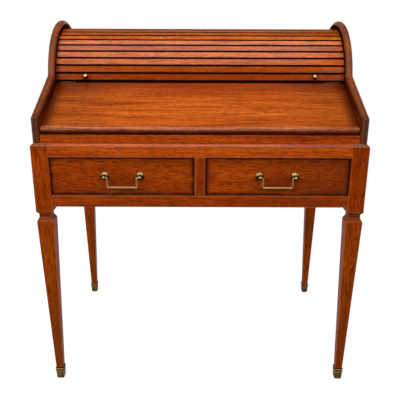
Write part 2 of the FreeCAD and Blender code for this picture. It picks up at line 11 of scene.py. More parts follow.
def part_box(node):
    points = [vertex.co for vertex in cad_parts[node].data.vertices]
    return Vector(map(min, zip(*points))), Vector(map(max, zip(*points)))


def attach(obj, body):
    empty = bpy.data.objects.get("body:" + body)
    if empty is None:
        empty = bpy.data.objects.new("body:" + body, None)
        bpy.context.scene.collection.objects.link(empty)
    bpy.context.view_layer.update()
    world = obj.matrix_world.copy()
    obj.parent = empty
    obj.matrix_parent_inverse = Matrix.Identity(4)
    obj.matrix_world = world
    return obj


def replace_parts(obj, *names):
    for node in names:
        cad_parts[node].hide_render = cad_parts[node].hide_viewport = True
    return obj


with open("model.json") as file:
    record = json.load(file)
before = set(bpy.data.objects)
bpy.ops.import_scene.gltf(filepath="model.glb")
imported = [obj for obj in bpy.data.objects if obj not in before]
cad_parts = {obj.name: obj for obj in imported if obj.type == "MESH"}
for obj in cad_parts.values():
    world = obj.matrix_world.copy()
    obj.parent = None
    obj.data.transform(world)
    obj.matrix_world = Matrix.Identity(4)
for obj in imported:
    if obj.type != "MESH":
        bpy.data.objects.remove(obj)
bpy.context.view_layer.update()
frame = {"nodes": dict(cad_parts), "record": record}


# Legs
# Four legs of solid mahogany: a square post that takes the rails' tenons, a narrow waist, and a shaft
# planed to a taper. The post's two outer top edges are bevelled together with the rails.

Shape = namedtuple("Shape", "points normals edge faces")


def linear(code):
    """An sRGB hex colour as the linear colour that a shader takes."""
    share = np.array([int(code[place:place + 2], 16) for place in (1, 3, 5)]) / 255
    share = np.where(share <= 0.04045, share / 12.92, ((share + 0.055) / 1.055) ** 2.4)
    return (*share.tolist(), 1.0)


def feed(tree, node, inputs):
    """Give each socket of a node a value or a link."""
    for socket, value in inputs.items():
        if isinstance(value, bpy.types.NodeSocket):
            tree.links.new(value, node.inputs[socket])
        else:
            node.inputs[socket].default_value = value


def add_node(tree, kind, inputs=None, **settings):
    """Add one node. Settings are its properties, and inputs give each socket a value or a link."""
    made = tree.nodes.new("ShaderNode" + kind)
    for name, value in settings.items():
        setattr(made, name, value)
    feed(tree, made, inputs or {})
    return made


def new_material(name):
    """A new material with its node tree and its shader."""
    material = bpy.data.materials.new(name)
    material.use_nodes = True
    return material, material.node_tree, material.node_tree.nodes["Principled BSDF"]


def eased_path(corners, radius, closed=True, steps=4, guard=0.0):
    """Each corner gives way to an arc that touches both its edges, with a plain point `guard` away on
    either side, where the arc's mark has faded out. Returns the points, their normals to the right of the
    path, and 1 on arcs, else 0."""
    corners = np.asarray(corners, float)
    place = np.arange(len(corners)) if closed else np.arange(1, len(corners) - 1)
    before = corners[place - 1] - corners[place]
    after = corners[(place + 1) % len(corners)] - corners[place]
    before /= np.linalg.norm(before, axis=1, keepdims=True)
    after /= np.linalg.norm(after, axis=1, keepdims=True)
    half = np.arccos(np.clip((before * after).sum(1), -1, 1)) / 2
    radius = np.broadcast_to(np.asarray(radius, float), half.shape)
    side = np.sign(before[:, 1] * after[:, 0] - before[:, 0] * after[:, 1])
    middle = before + after
    middle /= np.linalg.norm(middle, axis=1, keepdims=True)
    centre = corners[place] + middle * (radius / np.sin(half))[:, None]
    first = np.arctan2(before[:, 0], -before[:, 1])
    angle = first[:, None] + (side * (np.pi - 2 * half))[:, None] * np.linspace(0, 1, steps + 1)
    normals = np.stack((np.cos(angle), np.sin(angle)), axis=-1)
    points = centre[:, None] + (side * radius)[:, None, None] * normals
    edge = np.ones(angle.shape)
    if guard:
        points = np.concatenate((
            points[:, :1] + guard * before[:, None], points, points[:, -1:] + guard * after[:, None]), axis=1)
        normals = np.concatenate((normals[:, :1], normals, normals[:, -1:]), axis=1)
        edge = np.pad(edge, ((0, 0), (1, 1)))
    points, normals, edge = points.reshape(-1, 2), normals.reshape(-1, 2), edge.ravel()
    if not closed:
        points = np.concatenate((corners[:1], points, corners[-1:]))
        normals = np.concatenate((normals[:1], normals, normals[-1:]))
        edge = np.pad(edge, 1)
    return points, normals, edge


def wrapped(rings, count):
    """The quads between neighbouring rings of points that close on themselves."""
    index = np.arange(rings * count).reshape(rings, count)
    after = np.roll(index, -1, axis=1)
    quads = np.stack((index[:-1], after[:-1], after[1:], index[1:]), axis=-1)
    return quads.reshape(-1, 4).tolist()


def closed_rings(points, normals, edge):
    """A skin over rings of points, with a flat face across the first ring and the last."""
    rings, count = points.shape[:2]
    first = list(range(count))[::-1]
    last = list(range((rings - 1) * count, rings * count))
    faces = wrapped(rings, count) + [first, last]
    return Shape(points.reshape(-1, 3), normals.reshape(-1, 3), np.broadcast_to(edge, (rings, count)).ravel(),
                 faces)


def square_rings(limits, profile_normals, edge, corner, outer=(1.0, 1.0), worn_corners=True):
    """Rounded squares stacked up: limits are arrays of each ring's height, low x, high x, low y and high y.
    A ring's normals lean as the profile does, on the two outer sides and on the two inner ones. Outer gives
    the signs of the outer sides, and with worn_corners the corners have an edge mark of 1."""
    height, x_low, x_high, y_low, y_high = [np.asarray(a)[:, None] for a in limits]
    square = np.array([(-1.0, -1.0), (1.0, -1.0), (1.0, 1.0), (-1.0, 1.0)])
    _, around, _ = eased_path(square, corner)
    signs = np.repeat(square, len(around) // len(square), axis=0)
    x = np.where(signs[:, 0] > 0, x_high - corner, x_low + corner) + corner * around[:, 0]
    y = np.where(signs[:, 1] > 0, y_high - corner, y_low + corner) + corner * around[:, 1]
    points = np.stack((x, y, np.broadcast_to(height, x.shape)), axis=-1)
    on_outer = (np.clip(around * outer, 0, 1) ** 2).sum(1)
    lean_outer, lean_inner = profile_normals
    lean = on_outer * lean_outer[:, None] + (1 - on_outer) * lean_inner[:, None]
    flat = np.sqrt(1 - lean ** 2)
    normals = np.stack((around[:, 0] * flat, around[:, 1] * flat, lean), axis=-1)
    edge = np.repeat(edge[:, None], len(around), axis=1)
    if worn_corners:
        # the first and last points of each arc belong to the flat sides
        edge = np.maximum(edge, np.abs(around).min(axis=1) > 1e-6)
    return closed_rings(points, normals, edge)


# steps of the golden section spread the boards' own numbers evenly
golden_share = 0.618
boards_made = []


def make_piece(node, made_of, shape, body, material, tone=0.0):
    """A mesh with the shape's own normals, which stands for a node. It keeps three marks for its finish:
    edge is 1 along rubbed arrises, and also marks painted shade, painted highlights and soiling, board is a
    number of its own that moves the grain, so that no two boards match, and tone is how much darker than
    its neighbours the board is."""
    name = node + "_" + made_of
    mesh = bpy.data.meshes.new(name)
    mesh.from_pydata(shape.points.tolist(), [], shape.faces, shade_flat=False)
    mesh.normals_split_custom_set_from_vertices(shape.normals.tolist())
    boards_made.append(name)
    own_number = len(boards_made) * golden_share % 1
    plain = np.ones(len(shape.points))
    marks = {"edge": shape.edge, "board": own_number * plain, "tone": tone * plain}
    for mark, values in marks.items():
        mesh.attributes.new(mark, "FLOAT", "POINT").data.foreach_set("value", values.astype(np.float32))
    mesh.materials.append(material)
    made = bpy.data.objects.new(name, mesh)
    bpy.context.scene.collection.objects.link(made)
    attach(made, body)
    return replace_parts(made, node)


# lengths and widths of the wood's patterns in metres, and how far its grain sways and moves between boards
sway_size = (0.30, 0.11)
figure_size = (0.34, 0.030)
pore_size = (0.016, 0.0022)
rub_or_painted_size = (0.05, 0.014)
nick_size = (0.004, 0.004)
sway_reach = 0.014
board_step = (5.3, 7.9, 6.1)
# a reach past the whole desk
all_over = 9.0


def timber(name, grain, pale, deep, streak, pore, worn_or_painted_light, wear_or_painted_light=0.3, roughness=(0.20, 0.30), specular=0.3,
           specks=0.0, rub_or_painted_range=(0.20, 0.55), streak_size=(0.085, 0.0032), darker=(), shade_spots=(),
           dark_board="#8E2A00"):
    """Planed and polished wood with its grain along one axis. The eye sees broad bands of figure, thin
    dark streaks that sway, short pores, and arrises or hollows of another colour where the wood is rubbed
    or dirty, and where shade or a highlight is painted on. Pores are drawn about three times as wide as
    real ones, which would be too fine to show. Each darker entry is an axis, two places along it, how much
    darker the wood is at the second, and its colour there; some are painted shade, some painted highlights.
    Each shade spot is a painted shade or shadow round a middle: how far it reaches, its depth and its
    colour. Boards that are marked as darker than their neighbours go towards the colour of dark_board."""
    material, tree, shader = new_material(name)

    def pattern(vector, size, detail=2.0):
        """Clouds of a given length along the grain and width across it."""
        scale = [1 / size[1]] * 3
        scale[grain] = 1 / size[0]
        stretched = add_node(tree, "Mapping", {"Vector": vector, "Scale": scale}).outputs[0]
        return add_node(tree, "TexNoise", {
            "Vector": stretched, "Scale": 1.0, "Detail": detail, "Roughness": 0.55}).outputs

    place = add_node(tree, "TexCoord").outputs["Object"]
    axes = add_node(tree, "SeparateXYZ", {0: place}).outputs
    own, tone, on_edge = [add_node(tree, "Attribute", attribute_name=mark).outputs["Fac"]
                          for mark in ("board", "tone", "edge")]
    moved = add_node(tree, "VectorMath", {
        0: own, 1: board_step, 2: place}, operation="MULTIPLY_ADD").outputs[0]
    across_grain = [sway_reach] * 3
    across_grain[grain] = 0.0
    sway = pattern(moved, sway_size, detail=1.0)["Color"]
    swayed = add_node(tree, "VectorMath", {
        0: sway, 1: across_grain, 2: moved}, operation="MULTIPLY_ADD").outputs[0]
    figure, streaks, pores = [pattern(swayed, size)["Fac"] for size in (figure_size, streak_size, pore_size)]
    rub_or_painted_light = pattern(place, rub_or_painted_size)["Fac"]
    most_worn_or_painted = add_node(tree, "Math", {0: on_edge, 1: wear_or_painted_light}, operation="MULTIPLY").outputs[0]

    # each layer: a value, where the layer begins and where it is full, its depth there, and its colour;
    # the second layer covers a whole board, as deep as the board's tone mark says
    layers = [(figure, 0.32, 0.68, 1.0, deep), (1.0, 0.0, 1.0, tone, dark_board)]
    layers += [(axes[axis], *reach_and_colour) for axis, *reach_and_colour in darker]
    # shade spots: painted shade and painted shadows, each round a middle
    for middle, reach, depth, shade in shade_spots:
        near = add_node(tree, "Mapping", {
            "Vector": place, "Location": middle, "Scale": reach}, vector_type="TEXTURE").outputs[0]
        spot_shade = add_node(tree, "TexGradient", {0: near}, gradient_type="SPHERICAL").outputs["Fac"]
        layers.append((spot_shade, 0.0, 0.8, depth, shade))
    layers += [(streaks, 0.46, 0.66, 0.72, streak), (pores, 0.48, 0.66, 0.56, pore),
               (rub_or_painted_light, *rub_or_painted_range, most_worn_or_painted, worn_or_painted_light)]
    if specks:
        nicks = pattern(place, nick_size, detail=0.0)["Fac"]
        layers.append((nicks, 0.83, 0.88, specks, "#D9C6AE"))
    colour = linear(pale)
    for value, begins, full, depth, shade in layers:
        share = add_node(tree, "MapRange", {
            "Value": value, "From Min": begins, "From Max": full, "To Max": depth},
            interpolation_type="SMOOTHSTEP").outputs[0]
        colour = add_node(tree, "Mix", {0: share, 6: colour, 7: linear(shade)}, data_type="RGBA").outputs[2]

    dull = add_node(tree, "MapRange", {
        "Value": streaks, "From Min": 0.3, "From Max": 0.7, "To Min": roughness[0], "To Max": roughness[1]})
    relief = add_node(tree, "Bump", {"Height": pores, "Strength": 0.12, "Distance": 0.0004}, invert=True)
    feed(tree, shader, {"Base Color": colour, "Roughness": dull.outputs[0], "Specular IOR Level": specular,
                        "Normal": relief.outputs[0]})
    return material


post_height = 0.191
waist_size = 0.033
waist_height = 0.0095
waist_upper_bevel = 0.0065
waist_lower_bevel = 0.0116
shaft_top_size = 0.0455
shaft_foot_size = 0.0195
frame_bevel = 0.006
arris_radius = 0.0016
fillet_radius = 0.0012
leg_guard = 0.0016
leg_corners = ("front_left", "front_right", "back_left", "back_right")
frame_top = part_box("leg_front_right")[1].z
shaft_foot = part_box("leg_front_right")[0].z
post_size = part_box("leg_front_right")[1].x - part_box("leg_front_right")[0].x
post_foot = frame_top - post_height
shaft_top = post_foot - waist_upper_bevel - waist_height - waist_lower_bevel
LEG_MAHOGANY = dict(pale="#C8570A", deep="#AB4505", streak="#6C2602", pore="#4A2003", worn_or_painted_light="#B8703C")
neck_middle = (0.0, 0.0, post_foot - waist_upper_bevel - waist_height / 2)
# painted shade in the narrow waist under each post
neck_shade = (neck_middle, (all_over, all_over, 0.013), 0.6, "#2A0E02")
leg_darker = (
    # painted shade: the front legs are painted darker, to match the back legs, which get less light
    (1, 0.12, -0.12, 0.30, "#4A1A02"),  # from the back legs to the front legs
    (2, 0.46, 0.06, 0.42, "#4A2003"),  # down the shafts
    (2, post_foot, post_foot + 0.02, 0.16, "#A81C00"),  # from the shafts to the posts
    (2, frame_top - 0.030, frame_top - 0.008, 0.3, "#4A1602"),  # up to the bevel
    (2, frame_top - 0.0065, frame_top - 0.0045, 0.75, "#8A6050"))  # on the bevel: a painted highlight, pale pinkish grey
leg_mahogany = timber("polished_mahogany_upright", 2, roughness=(0.38, 0.48), specular=0.045, specks=0.7,
                      streak_size=(0.05, 0.0028), darker=leg_darker, shade_spots=(neck_shade,), **LEG_MAHOGANY)


def leg_shape(low, high):
    """A rounded square carried up a profile of half sizes, drawn in on its outer sides at the top."""
    waist_foot = shaft_top + waist_lower_bevel
    half = post_size / 2
    profile = [
        (shaft_foot_size / 2, shaft_foot), (shaft_top_size / 2, shaft_top), (waist_size / 2, waist_foot),
        (waist_size / 2, waist_foot + waist_height), (half, post_foot),
        (half, frame_top - frame_bevel), (half - frame_bevel, frame_top)]
    sizes, leans, edge = eased_path(profile, fillet_radius, closed=False, steps=3, guard=leg_guard)
    outer_half, height = sizes.T
    above = height > post_foot + fillet_radius * 4
    inner_half = np.where(above, half, outer_half)
    inner_lean = np.where(above, 0.0, leans[:, 1])
    middle = (low + high) / 2
    outer = np.sign((middle.x, middle.y))
    x_reach = np.stack((middle.x - outer[0] * inner_half, middle.x + outer[0] * outer_half))
    y_reach = np.stack((middle.y - outer[1] * inner_half, middle.y + outer[1] * outer_half))
    limits = (height, x_reach.min(0), x_reach.max(0), y_reach.min(0), y_reach.max(0))
    return square_rings(limits, (leans[:, 1], inner_lean), edge, arris_radius, outer)


for corner in leg_corners:
    node = "leg_" + corner
    make_piece(node, "mahogany", leg_shape(*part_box(node)), "desk", leg_mahogany)


# Sabots
# Cast brass cups on the legs' ends, each with two raised bands and a rounded toe, pinned through the
# leg. The cup is left dull and brown by wear and polish, brighter on the bands.


def aged_brass(name, bright, tarnish, roughness, patch, rub_or_painted_light=(0.45, 0.38, 0.78)):
    """Cast brass that has browned with age: bright where hands and cloths rub it, tarnished in patches
    elsewhere. On the pulls and knobs the edge mark also carries painted highlights on top and painted shade
    below. Patches are a few millimetres wide. The last argument is the weight of the edge mark against the
    patches, and the sums of the two between which brass turns from tarnished to bright."""
    material, tree, shader = new_material(name)
    place = add_node(tree, "TexCoord").outputs["Object"]
    cloud = add_node(tree, "TexNoise", {
        "Vector": place, "Scale": 1 / patch, "Detail": 4.0, "Roughness": 0.6}).outputs["Fac"]
    on_edge = add_node(tree, "Attribute", attribute_name="edge").outputs["Fac"]
    weight, dark, clear = rub_or_painted_light
    rubbed = add_node(tree, "Math", {0: on_edge, 1: weight, 2: cloud}, operation="MULTIPLY_ADD").outputs[0]
    share = add_node(tree, "MapRange", {
        "Value": rubbed, "From Min": dark, "From Max": clear}, interpolation_type="SMOOTHSTEP").outputs[0]
    colour = add_node(tree, "Mix", {0: share, 6: linear(tarnish), 7: linear(bright)}, data_type="RGBA")
    dull = add_node(tree, "MapRange", {"Value": share, "To Min": roughness[1], "To Max": roughness[0]})
    cast = add_node(tree, "Bump", {"Height": cloud, "Strength": 0.15, "Distance": 0.0004})
    feed(tree, shader, {"Base Color": colour.outputs[2], "Metallic": 1.0, "Roughness": dull.outputs[0],
                        "Normal": cast.outputs[0]})
    return material


sabot_brass = aged_brass("browned_cast_brass", "#A68046", "#241507", roughness=(0.38, 0.55), patch=0.006,
                         rub_or_painted_light=(1.0, 0.5, 1.5))
sabot_height = 0.039
sabot_wall = 0.0016
sabot_fit = 0.0001
sabot_corner = 0.0028
sabot_ease = 0.0005
toe_size_share = 0.93
toe_height_share = 0.07
# heights are shares of the cup, and walls are shares of its plain wall
lower_lip = 0.70
upper_lip = 0.92
sabot_bands_shares = (
    (0.20, 0.95), (0.60, 1.0), (0.63, 1.6), (lower_lip, 1.6), (0.73, 0.9),
    (0.81, 0.9), (0.84, 1.6), (upper_lip, 1.6), (0.95, 0.9), (1.0, 0.9))
# brass is bright along the bands' upper lips, and a little so on the plain cup under them
lip_reach = 0.02
plain_cup_top = 0.61
plain_cup_mark = 0.3


def shaft_size_at(height):
    """The tapered shaft's width at a height."""
    share = (height - shaft_foot) / (shaft_top - shaft_foot)
    return shaft_foot_size + share * (shaft_top_size - shaft_foot_size)


def sabot_shape(low, high):
    """A rounded square carried up the cup's outside and down its inside, round the leg's end."""
    profile = [
        (shaft_foot_size * toe_size_share / 2, 0.0),
        (shaft_foot_size / 2 + sabot_wall / 2, sabot_height * toe_height_share)]
    for height_share, wall_share in sabot_bands_shares:
        height = sabot_height * height_share
        profile.append((shaft_size_at(height) / 2 + sabot_fit + sabot_wall * wall_share, height))
    profile += [(shaft_size_at(sabot_height) / 2 + sabot_fit, sabot_height),
                (shaft_size_at(shaft_foot) / 2 + sabot_fit, shaft_foot)]
    sizes, leans, _ = eased_path(profile, sabot_ease, closed=False, steps=3)
    half, height = sizes.T
    up_cup = height / sabot_height
    on_lip = (np.abs(up_cup[:, None] - (lower_lip, upper_lip)) < lip_reach).any(axis=1)
    rubbed = np.where(up_cup < plain_cup_top, plain_cup_mark, on_lip * 1.0)
    middle = (low + high) / 2
    limits = (height, middle.x - half, middle.x + half, middle.y - half, middle.y + half)
    lean = leans[:, 1]
    return square_rings(limits, (lean, lean), rubbed, sabot_corner, worn_corners=False)


def joined(shapes):
    """Several shapes as one."""
    starts = np.cumsum([0] + [len(shape.points) for shape in shapes[:-1]]).tolist()
    points, normals, edge = [np.concatenate(parts) for parts in list(zip(*shapes))[:3]]
    faces = [[corner + start for corner in face]
             for shape, start in zip(shapes, starts) for face in shape.faces]
    return Shape(points, normals, edge, faces)


sabot_cups = [sabot_shape(*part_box("leg_" + corner)) for corner in leg_corners]
make_piece("sabots", "brass", joined(sabot_cups), "desk", sabot_brass)


# Rails and aprons
# Mahogany rails tenoned into the posts: one over the drawers, one under them, an upright between, and
# aprons at the sides and back. The top edges are bevelled all round, and every arris is rubbed round.


def carried(outline, low, high, axis, ease, steps=3, guard=0.0):
    """Carry an outline along an axis. Each end draws in along a quarter circle and is closed flat."""
    points, normals, edge = outline
    angle = np.linspace(0, np.pi / 2, steps + 1)
    inset, along, lean = ease * (1 - np.sin(angle)), ease * (1 - np.cos(angle)), np.cos(angle)
    plain = np.zeros(2 if guard else 0)
    insets = np.concatenate((inset, plain, inset[::-1]))
    inner = np.array((low + ease + guard, high - ease - guard))[:len(plain)]
    places = np.concatenate((low + along, inner, high - along[::-1]))
    leans = np.concatenate((-lean, plain, lean[::-1]))
    eased = np.full(steps + 1, bool(guard))
    on_end = np.concatenate((eased, plain, eased))
    spread = points[None] - normals[None] * insets[:, None, None]
    stood = np.broadcast_to(places[:, None, None], (*spread.shape[:2], 1))
    flat = np.sqrt(1 - leans ** 2)[:, None, None]
    leaned = np.broadcast_to(leans[:, None, None], stood.shape)
    tilted = np.concatenate((leaned, normals[None] * flat), axis=-1)
    laid = np.concatenate((stood, spread), axis=-1)
    return closed_rings(np.roll(laid, axis, axis=-1), np.roll(tilted, axis, axis=-1),
                        np.maximum(on_end[:, None], edge[None]))


# the rails' rubbed colour, darker and greyish, is also painted shade and a painted sheen on their bevels
RAIL_MAHOGANY = dict(pale="#D45A06", deep="#B84704", streak="#7E2801", pore="#571901", worn_or_painted_light="#84503A",
                     wear_or_painted_light=0.8)
STILE_MAHOGANY = dict(pale="#AB4204", deep="#933402", streak="#622001", pore="#4A1C02", worn_or_painted_light="#B8703C",
                      specular=0.15)
rail_mahogany = timber("polished_mahogany_rails", 0, specular=0.2, streak_size=(0.2, 0.0034), **RAIL_MAHOGANY)
low_rail_mahogany = timber("polished_mahogany_low_rail", 0, **STILE_MAHOGANY)
apron_mahogany = timber("polished_mahogany_aprons", 1, specular=0.1, **RAIL_MAHOGANY)
stile_mahogany = timber("polished_mahogany_stile", 2, **STILE_MAHOGANY)

rail_arris = 0.0014
rail_end_ease = 0.0004
bevel_ease = 0.0022
rail_guard = 0.002
low_rail_guard = 0.0015
stile_guard = 0.003


def plain_rail(node, axis, guard):
    """A rail along an axis, with its four long arrises rounded and its ends eased."""
    low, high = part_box(node)
    u, v = (axis + 1) % 3, (axis + 2) % 3
    corners = [(low[u], low[v]), (high[u], low[v]), (high[u], high[v]), (low[u], high[v])]
    outline = eased_path(corners, rail_arris, guard=guard)
    return carried(outline, low[axis], high[axis], axis, rail_end_ease, guard=guard)


def bevelled_rail(node, axis, outside):
    """A rail along X or Y whose outer top edge is bevelled. Outside is -1 or 1, the way that edge faces
    across the rail. The section of a rail along Y is drawn with its height first."""
    low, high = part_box(node)
    across = 1 - axis
    outer, inner = (low[across], high[across]) if outside < 0 else (high[across], low[across])
    corners = [(inner, low.z), (inner, high.z), (outer - outside * frame_bevel, high.z),
               (outer, high.z - frame_bevel), (outer, low.z)]
    eases = [rail_arris, rail_arris, bevel_ease, bevel_ease, rail_arris]
    if axis == 1:
        corners = [corner[::-1] for corner in corners]
    elif outside > 0:
        corners, eases = corners[::-1], eases[::-1]
    return carried(eased_path(corners, eases, guard=rail_guard), low[axis], high[axis], axis, rail_end_ease)


def mirrored(shape):
    """The same shape on the desk's other side."""
    flip = np.array((-1.0, 1.0, 1.0))
    return Shape(shape.points * flip, shape.normals * flip, shape.edge, [face[::-1] for face in shape.faces])


right_apron = bevelled_rail("side_apron_right", 1, 1)
stand_rails = (
    ("frieze_top_rail", bevelled_rail("frieze_top_rail", 0, -1), rail_mahogany),
    ("back_apron", bevelled_rail("back_apron", 0, 1), rail_mahogany),
    ("frieze_bottom_rail", plain_rail("frieze_bottom_rail", 0, low_rail_guard), low_rail_mahogany),
    ("drawer_divider", plain_rail("drawer_divider", 2, stile_guard), stile_mahogany),
    ("side_apron_right", right_apron, apron_mahogany),
    ("side_apron_left", mirrored(right_apron), apron_mahogany))
for node, shape, mahogany in stand_rails:
    make_piece(node, "mahogany", shape, "desk", mahogany)


# Runners and kickers
# Plain secondary timber inside the stand, planed but not polished: ledges with guides that carry the
# drawers' sides, and kickers over the sides that keep an open drawer level.

PLAIN_TIMBER = dict(pale="#B98F5C", deep="#A27645", streak="#86592E", pore="#6B4522", worn_or_painted_light="#CDAA7C",
                    roughness=(0.55, 0.7), specular=0.2)
plain_runners = timber("planed_poplar_runners", 1, **PLAIN_TIMBER)
plain_boards = timber("planed_poplar_boards", 0, **PLAIN_TIMBER)


def finish_nodes(names, material):
    """Give pieces that keep their own solid shape a finish."""
    for name in names:
        for place in frame["nodes"][name].material_slots:
            place.material = material


finish_nodes(["drawer_runner_left", "drawer_runner_centre", "drawer_runner_right", "drawer_kickers"],
             plain_runners)


# Drawers
# Two drawers with fronts of darker polished mahogany set back in their openings, and sides, backs and
# bottoms of plain timber. Each front is darker along its edges, from old polish and from painted shade
# of its recess, and a painted shadow of the bail lies round its pull.

FRONT_MAHOGANY = dict(pale="#BE4D05", deep="#A43F03", streak="#732601", pore="#4D1601", worn_or_painted_light="#3A1403",
                      wear_or_painted_light=0.95, roughness=(0.22, 0.34), specular=0.12, streak_size=(0.03, 0.0027))
# the right drawer's front is darker towards its outer end
front_darker = {"left": (), "right": ((0, 0.04, 0.40, 0.5, "#4D1601"),)}
front_arris = 0.0013
front_corner = 0.0003
arris_steps = 5
# a painted shadow of the bail and roses on each front, centred a little below the pull
pull_shadow_drop = 0.011
pull_shadow_reach = (0.062, 0.03, 0.036)
pull_shadow_depth = 0.42
# the fronts' darker edges: old polish, and painted shade of the opening's recess
front_shade_insets = (0.003, 0.007, 0.016, 0.034)
front_shades = (0.95, 0.5, 0.2, 0.0)


def drawer_front(low, high):
    """Rounded oblongs carried forwards from the back face: up the edge, round the arris by a quarter
    circle, then inwards over the front face."""
    thickness = high.y - low.y
    angle = np.linspace(0, np.pi / 2, arris_steps)
    around = front_arris * (1 - np.cos(angle))
    depth = np.concatenate(([0.0], thickness - front_arris + front_arris * np.sin(angle),
                            np.full(len(front_shade_insets), thickness)))
    inset = np.concatenate(([0.0], around, front_shade_insets))
    lean = np.concatenate(([0.0], np.sin(angle), np.ones(len(front_shade_insets))))
    shade = np.concatenate((np.ones(len(angle) + 1), front_shades))
    limits = (depth, low.x + inset, high.x - inset, low.z + inset, high.z - inset)
    laid = square_rings(limits, (lean, lean), shade, front_corner, worn_corners=False)
    forwards = np.array(((1.0, 0.0, 0.0), (0.0, 0.0, 1.0), (0.0, -1.0, 0.0)))
    return laid._replace(points=laid.points @ forwards + (0.0, high.y, 0.0), normals=laid.normals @ forwards)


for hand in ("left", "right"):
    body = "drawer_" + hand
    low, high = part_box(body + "_front")
    pull_shadow_middle = ((low.x + high.x) / 2, low.y, (low.z + high.z) / 2 - pull_shadow_drop)
    front_mahogany = timber("dark_polished_mahogany_" + hand, 0, darker=front_darker[hand],
                            shade_spots=((pull_shadow_middle, pull_shadow_reach, pull_shadow_depth, "#4D1601"),), **FRONT_MAHOGANY)
    make_piece(body + "_front", "mahogany", drawer_front(low, high), body, front_mahogany)
    finish_nodes([body + "_sides"], plain_runners)
    finish_nodes([body + "_back", body + "_bottom"], plain_boards)


# Drawer pulls
# Cast and turned brass: eight-sided roses screwed to the front, each with a stem that ends in a drilled
# ball, and a square-cornered bail of drawn rod whose ends turn in the balls.

pull_brass = aged_brass("rubbed_antique_brass", "#C6A973", "#3A2A12", roughness=(0.34, 0.5), patch=0.005,
                        rub_or_painted_light=(1.0, 0.75, 1.3))
pull_spacing = 0.096
pull_reach = 0.016
rose_size = 0.0226
rose_sides = 8
facet_steps = 10
rose_hollow = 0.0003
rose_rim_height = 0.0012
# shares of the rose's half width: where its collar ends, and where its outline is round and is eight-sided
rose_collar = 0.45
rose_round = 0.42
rose_angular = 0.72
# the rose's section from its rim in to its stem: shares of its half width, and heights in metres
rose_shares = np.array([1.0, 1.0, 0.99, 0.97, 0.94, 0.85, 0.75, 0.65, 0.55, 0.47, 0.43, 0.40, 0.36, 0.30])
rose_heights = np.array([0.0, 0.0010, 0.0014, 0.0016, 0.0018, 0.0027, 0.0036, 0.0044, 0.0052, 0.0058, 0.0060,
                         0.0061, 0.0062, 0.0062])
stem_radius = 0.0032
ball_radius = 0.0053
bail_rod_radius = 0.0022
bail_leg_inset = 0.0085
bail_drop = 0.027
bail_end_reach = 0.0026
bail_bend = 0.0032
rod_sides = 20
# how bright the brass is: rubbed by hands and cloths, with painted highlights on tops and painted shade below
bail_shine = 0.9
ball_shine = 0.55
rose_shine = 0.28
rose_shine_upwards = 0.40
rubbed_from_collar = 0.2


def grid_normals(points):
    """Normals of a grid of rings, square to the way round a ring and the way from ring to ring."""
    around = np.roll(points, -1, axis=1) - np.roll(points, 1, axis=1)
    onward = np.gradient(points, axis=0)
    normals = np.cross(around, onward)
    return normals / np.maximum(np.linalg.norm(normals, axis=-1, keepdims=True), 1e-12)


def turned(profile, foot, count=40):
    """Turn (radius, height) points about the line that runs forwards from a foot."""
    points, leans, edge = profile
    angle = np.linspace(0, 2 * np.pi, count, endpoint=False)
    radius, height = points[:, :1], points[:, 1:]
    out = np.stack(np.broadcast_arrays(np.cos(angle), 0 * angle, np.sin(angle)), axis=-1)
    forward = np.array((0.0, -1.0, 0.0))
    laid = np.array(foot) + radius[..., None] * out + height[..., None] * forward
    normals = leans[:, :1, None] * out + leans[:, 1:, None] * forward
    return closed_rings(laid, normals, edge[:, None])


def ball_profile(foot_radius, centre, radius, steps=14):
    """A stem that runs up into a ball: the ball's part is a circle's arc."""
    first = -math.acos(foot_radius / radius)
    angle = np.linspace(first, math.radians(88), steps)
    out = np.stack((np.cos(angle), np.sin(angle)), axis=-1)
    points = np.concatenate(([(foot_radius, 0.0), (foot_radius, centre + radius * math.sin(first))],
                             radius * out + (0, centre)))
    normals = np.concatenate(([(1.0, 0.0), (1.0, 0.0)], out))
    return points, normals, np.clip(points[:, 1] / (centre + radius), 0, 1) ** 2


def darkened_below(shape):
    """Hands and cloths rub the top of a small turned piece, and its mark fades towards its underside: tarnish
    with painted shade.
    """
    return shape._replace(edge=shape.edge * np.clip(ball_shine * (1 + shape.normals[:, 2]), 0, 1))


def rose_shape(face):
    """An eight-sided rose: its radius follows the octagon, and its height rises from a rim over hollow
    facets to a round collar at the stem. Its upper facets carry a painted highlight, brighter than its lower
    ones."""
    angle = np.linspace(0, 2 * np.pi, rose_sides * facet_steps, endpoint=False)
    within = angle % (2 * np.pi / rose_sides) - np.pi / rose_sides
    octagon = 1 / np.cos(within)
    shares, heights = rose_shares[:, None], rose_heights[:, None]
    angular = np.clip((shares - rose_round) / (rose_angular - rose_round), 0, 1)
    radius = rose_size / 2 * shares * (1 + (octagon - 1) * angular)
    hollow = rose_hollow * np.sin(np.pi * np.clip((shares - rose_collar) / rose_collar, 0, 1))
    height = heights - hollow * np.cos(within * rose_sides / 2) ** 2
    points = np.stack((face.x + radius * np.cos(angle), face.y - height, face.z + radius * np.sin(angle)),
                      axis=-1)
    clear_of_stem = np.clip((shares - rose_collar) / rubbed_from_collar, 0, 1) * (heights > rose_rim_height)
    # painted highlight: the mark grows towards the rose's top
    rubbed_and_lit = np.clip(rose_shine + rose_shine_upwards * np.sin(angle), 0, 1)
    return closed_rings(points, grid_normals(points), clear_of_stem * rubbed_and_lit)


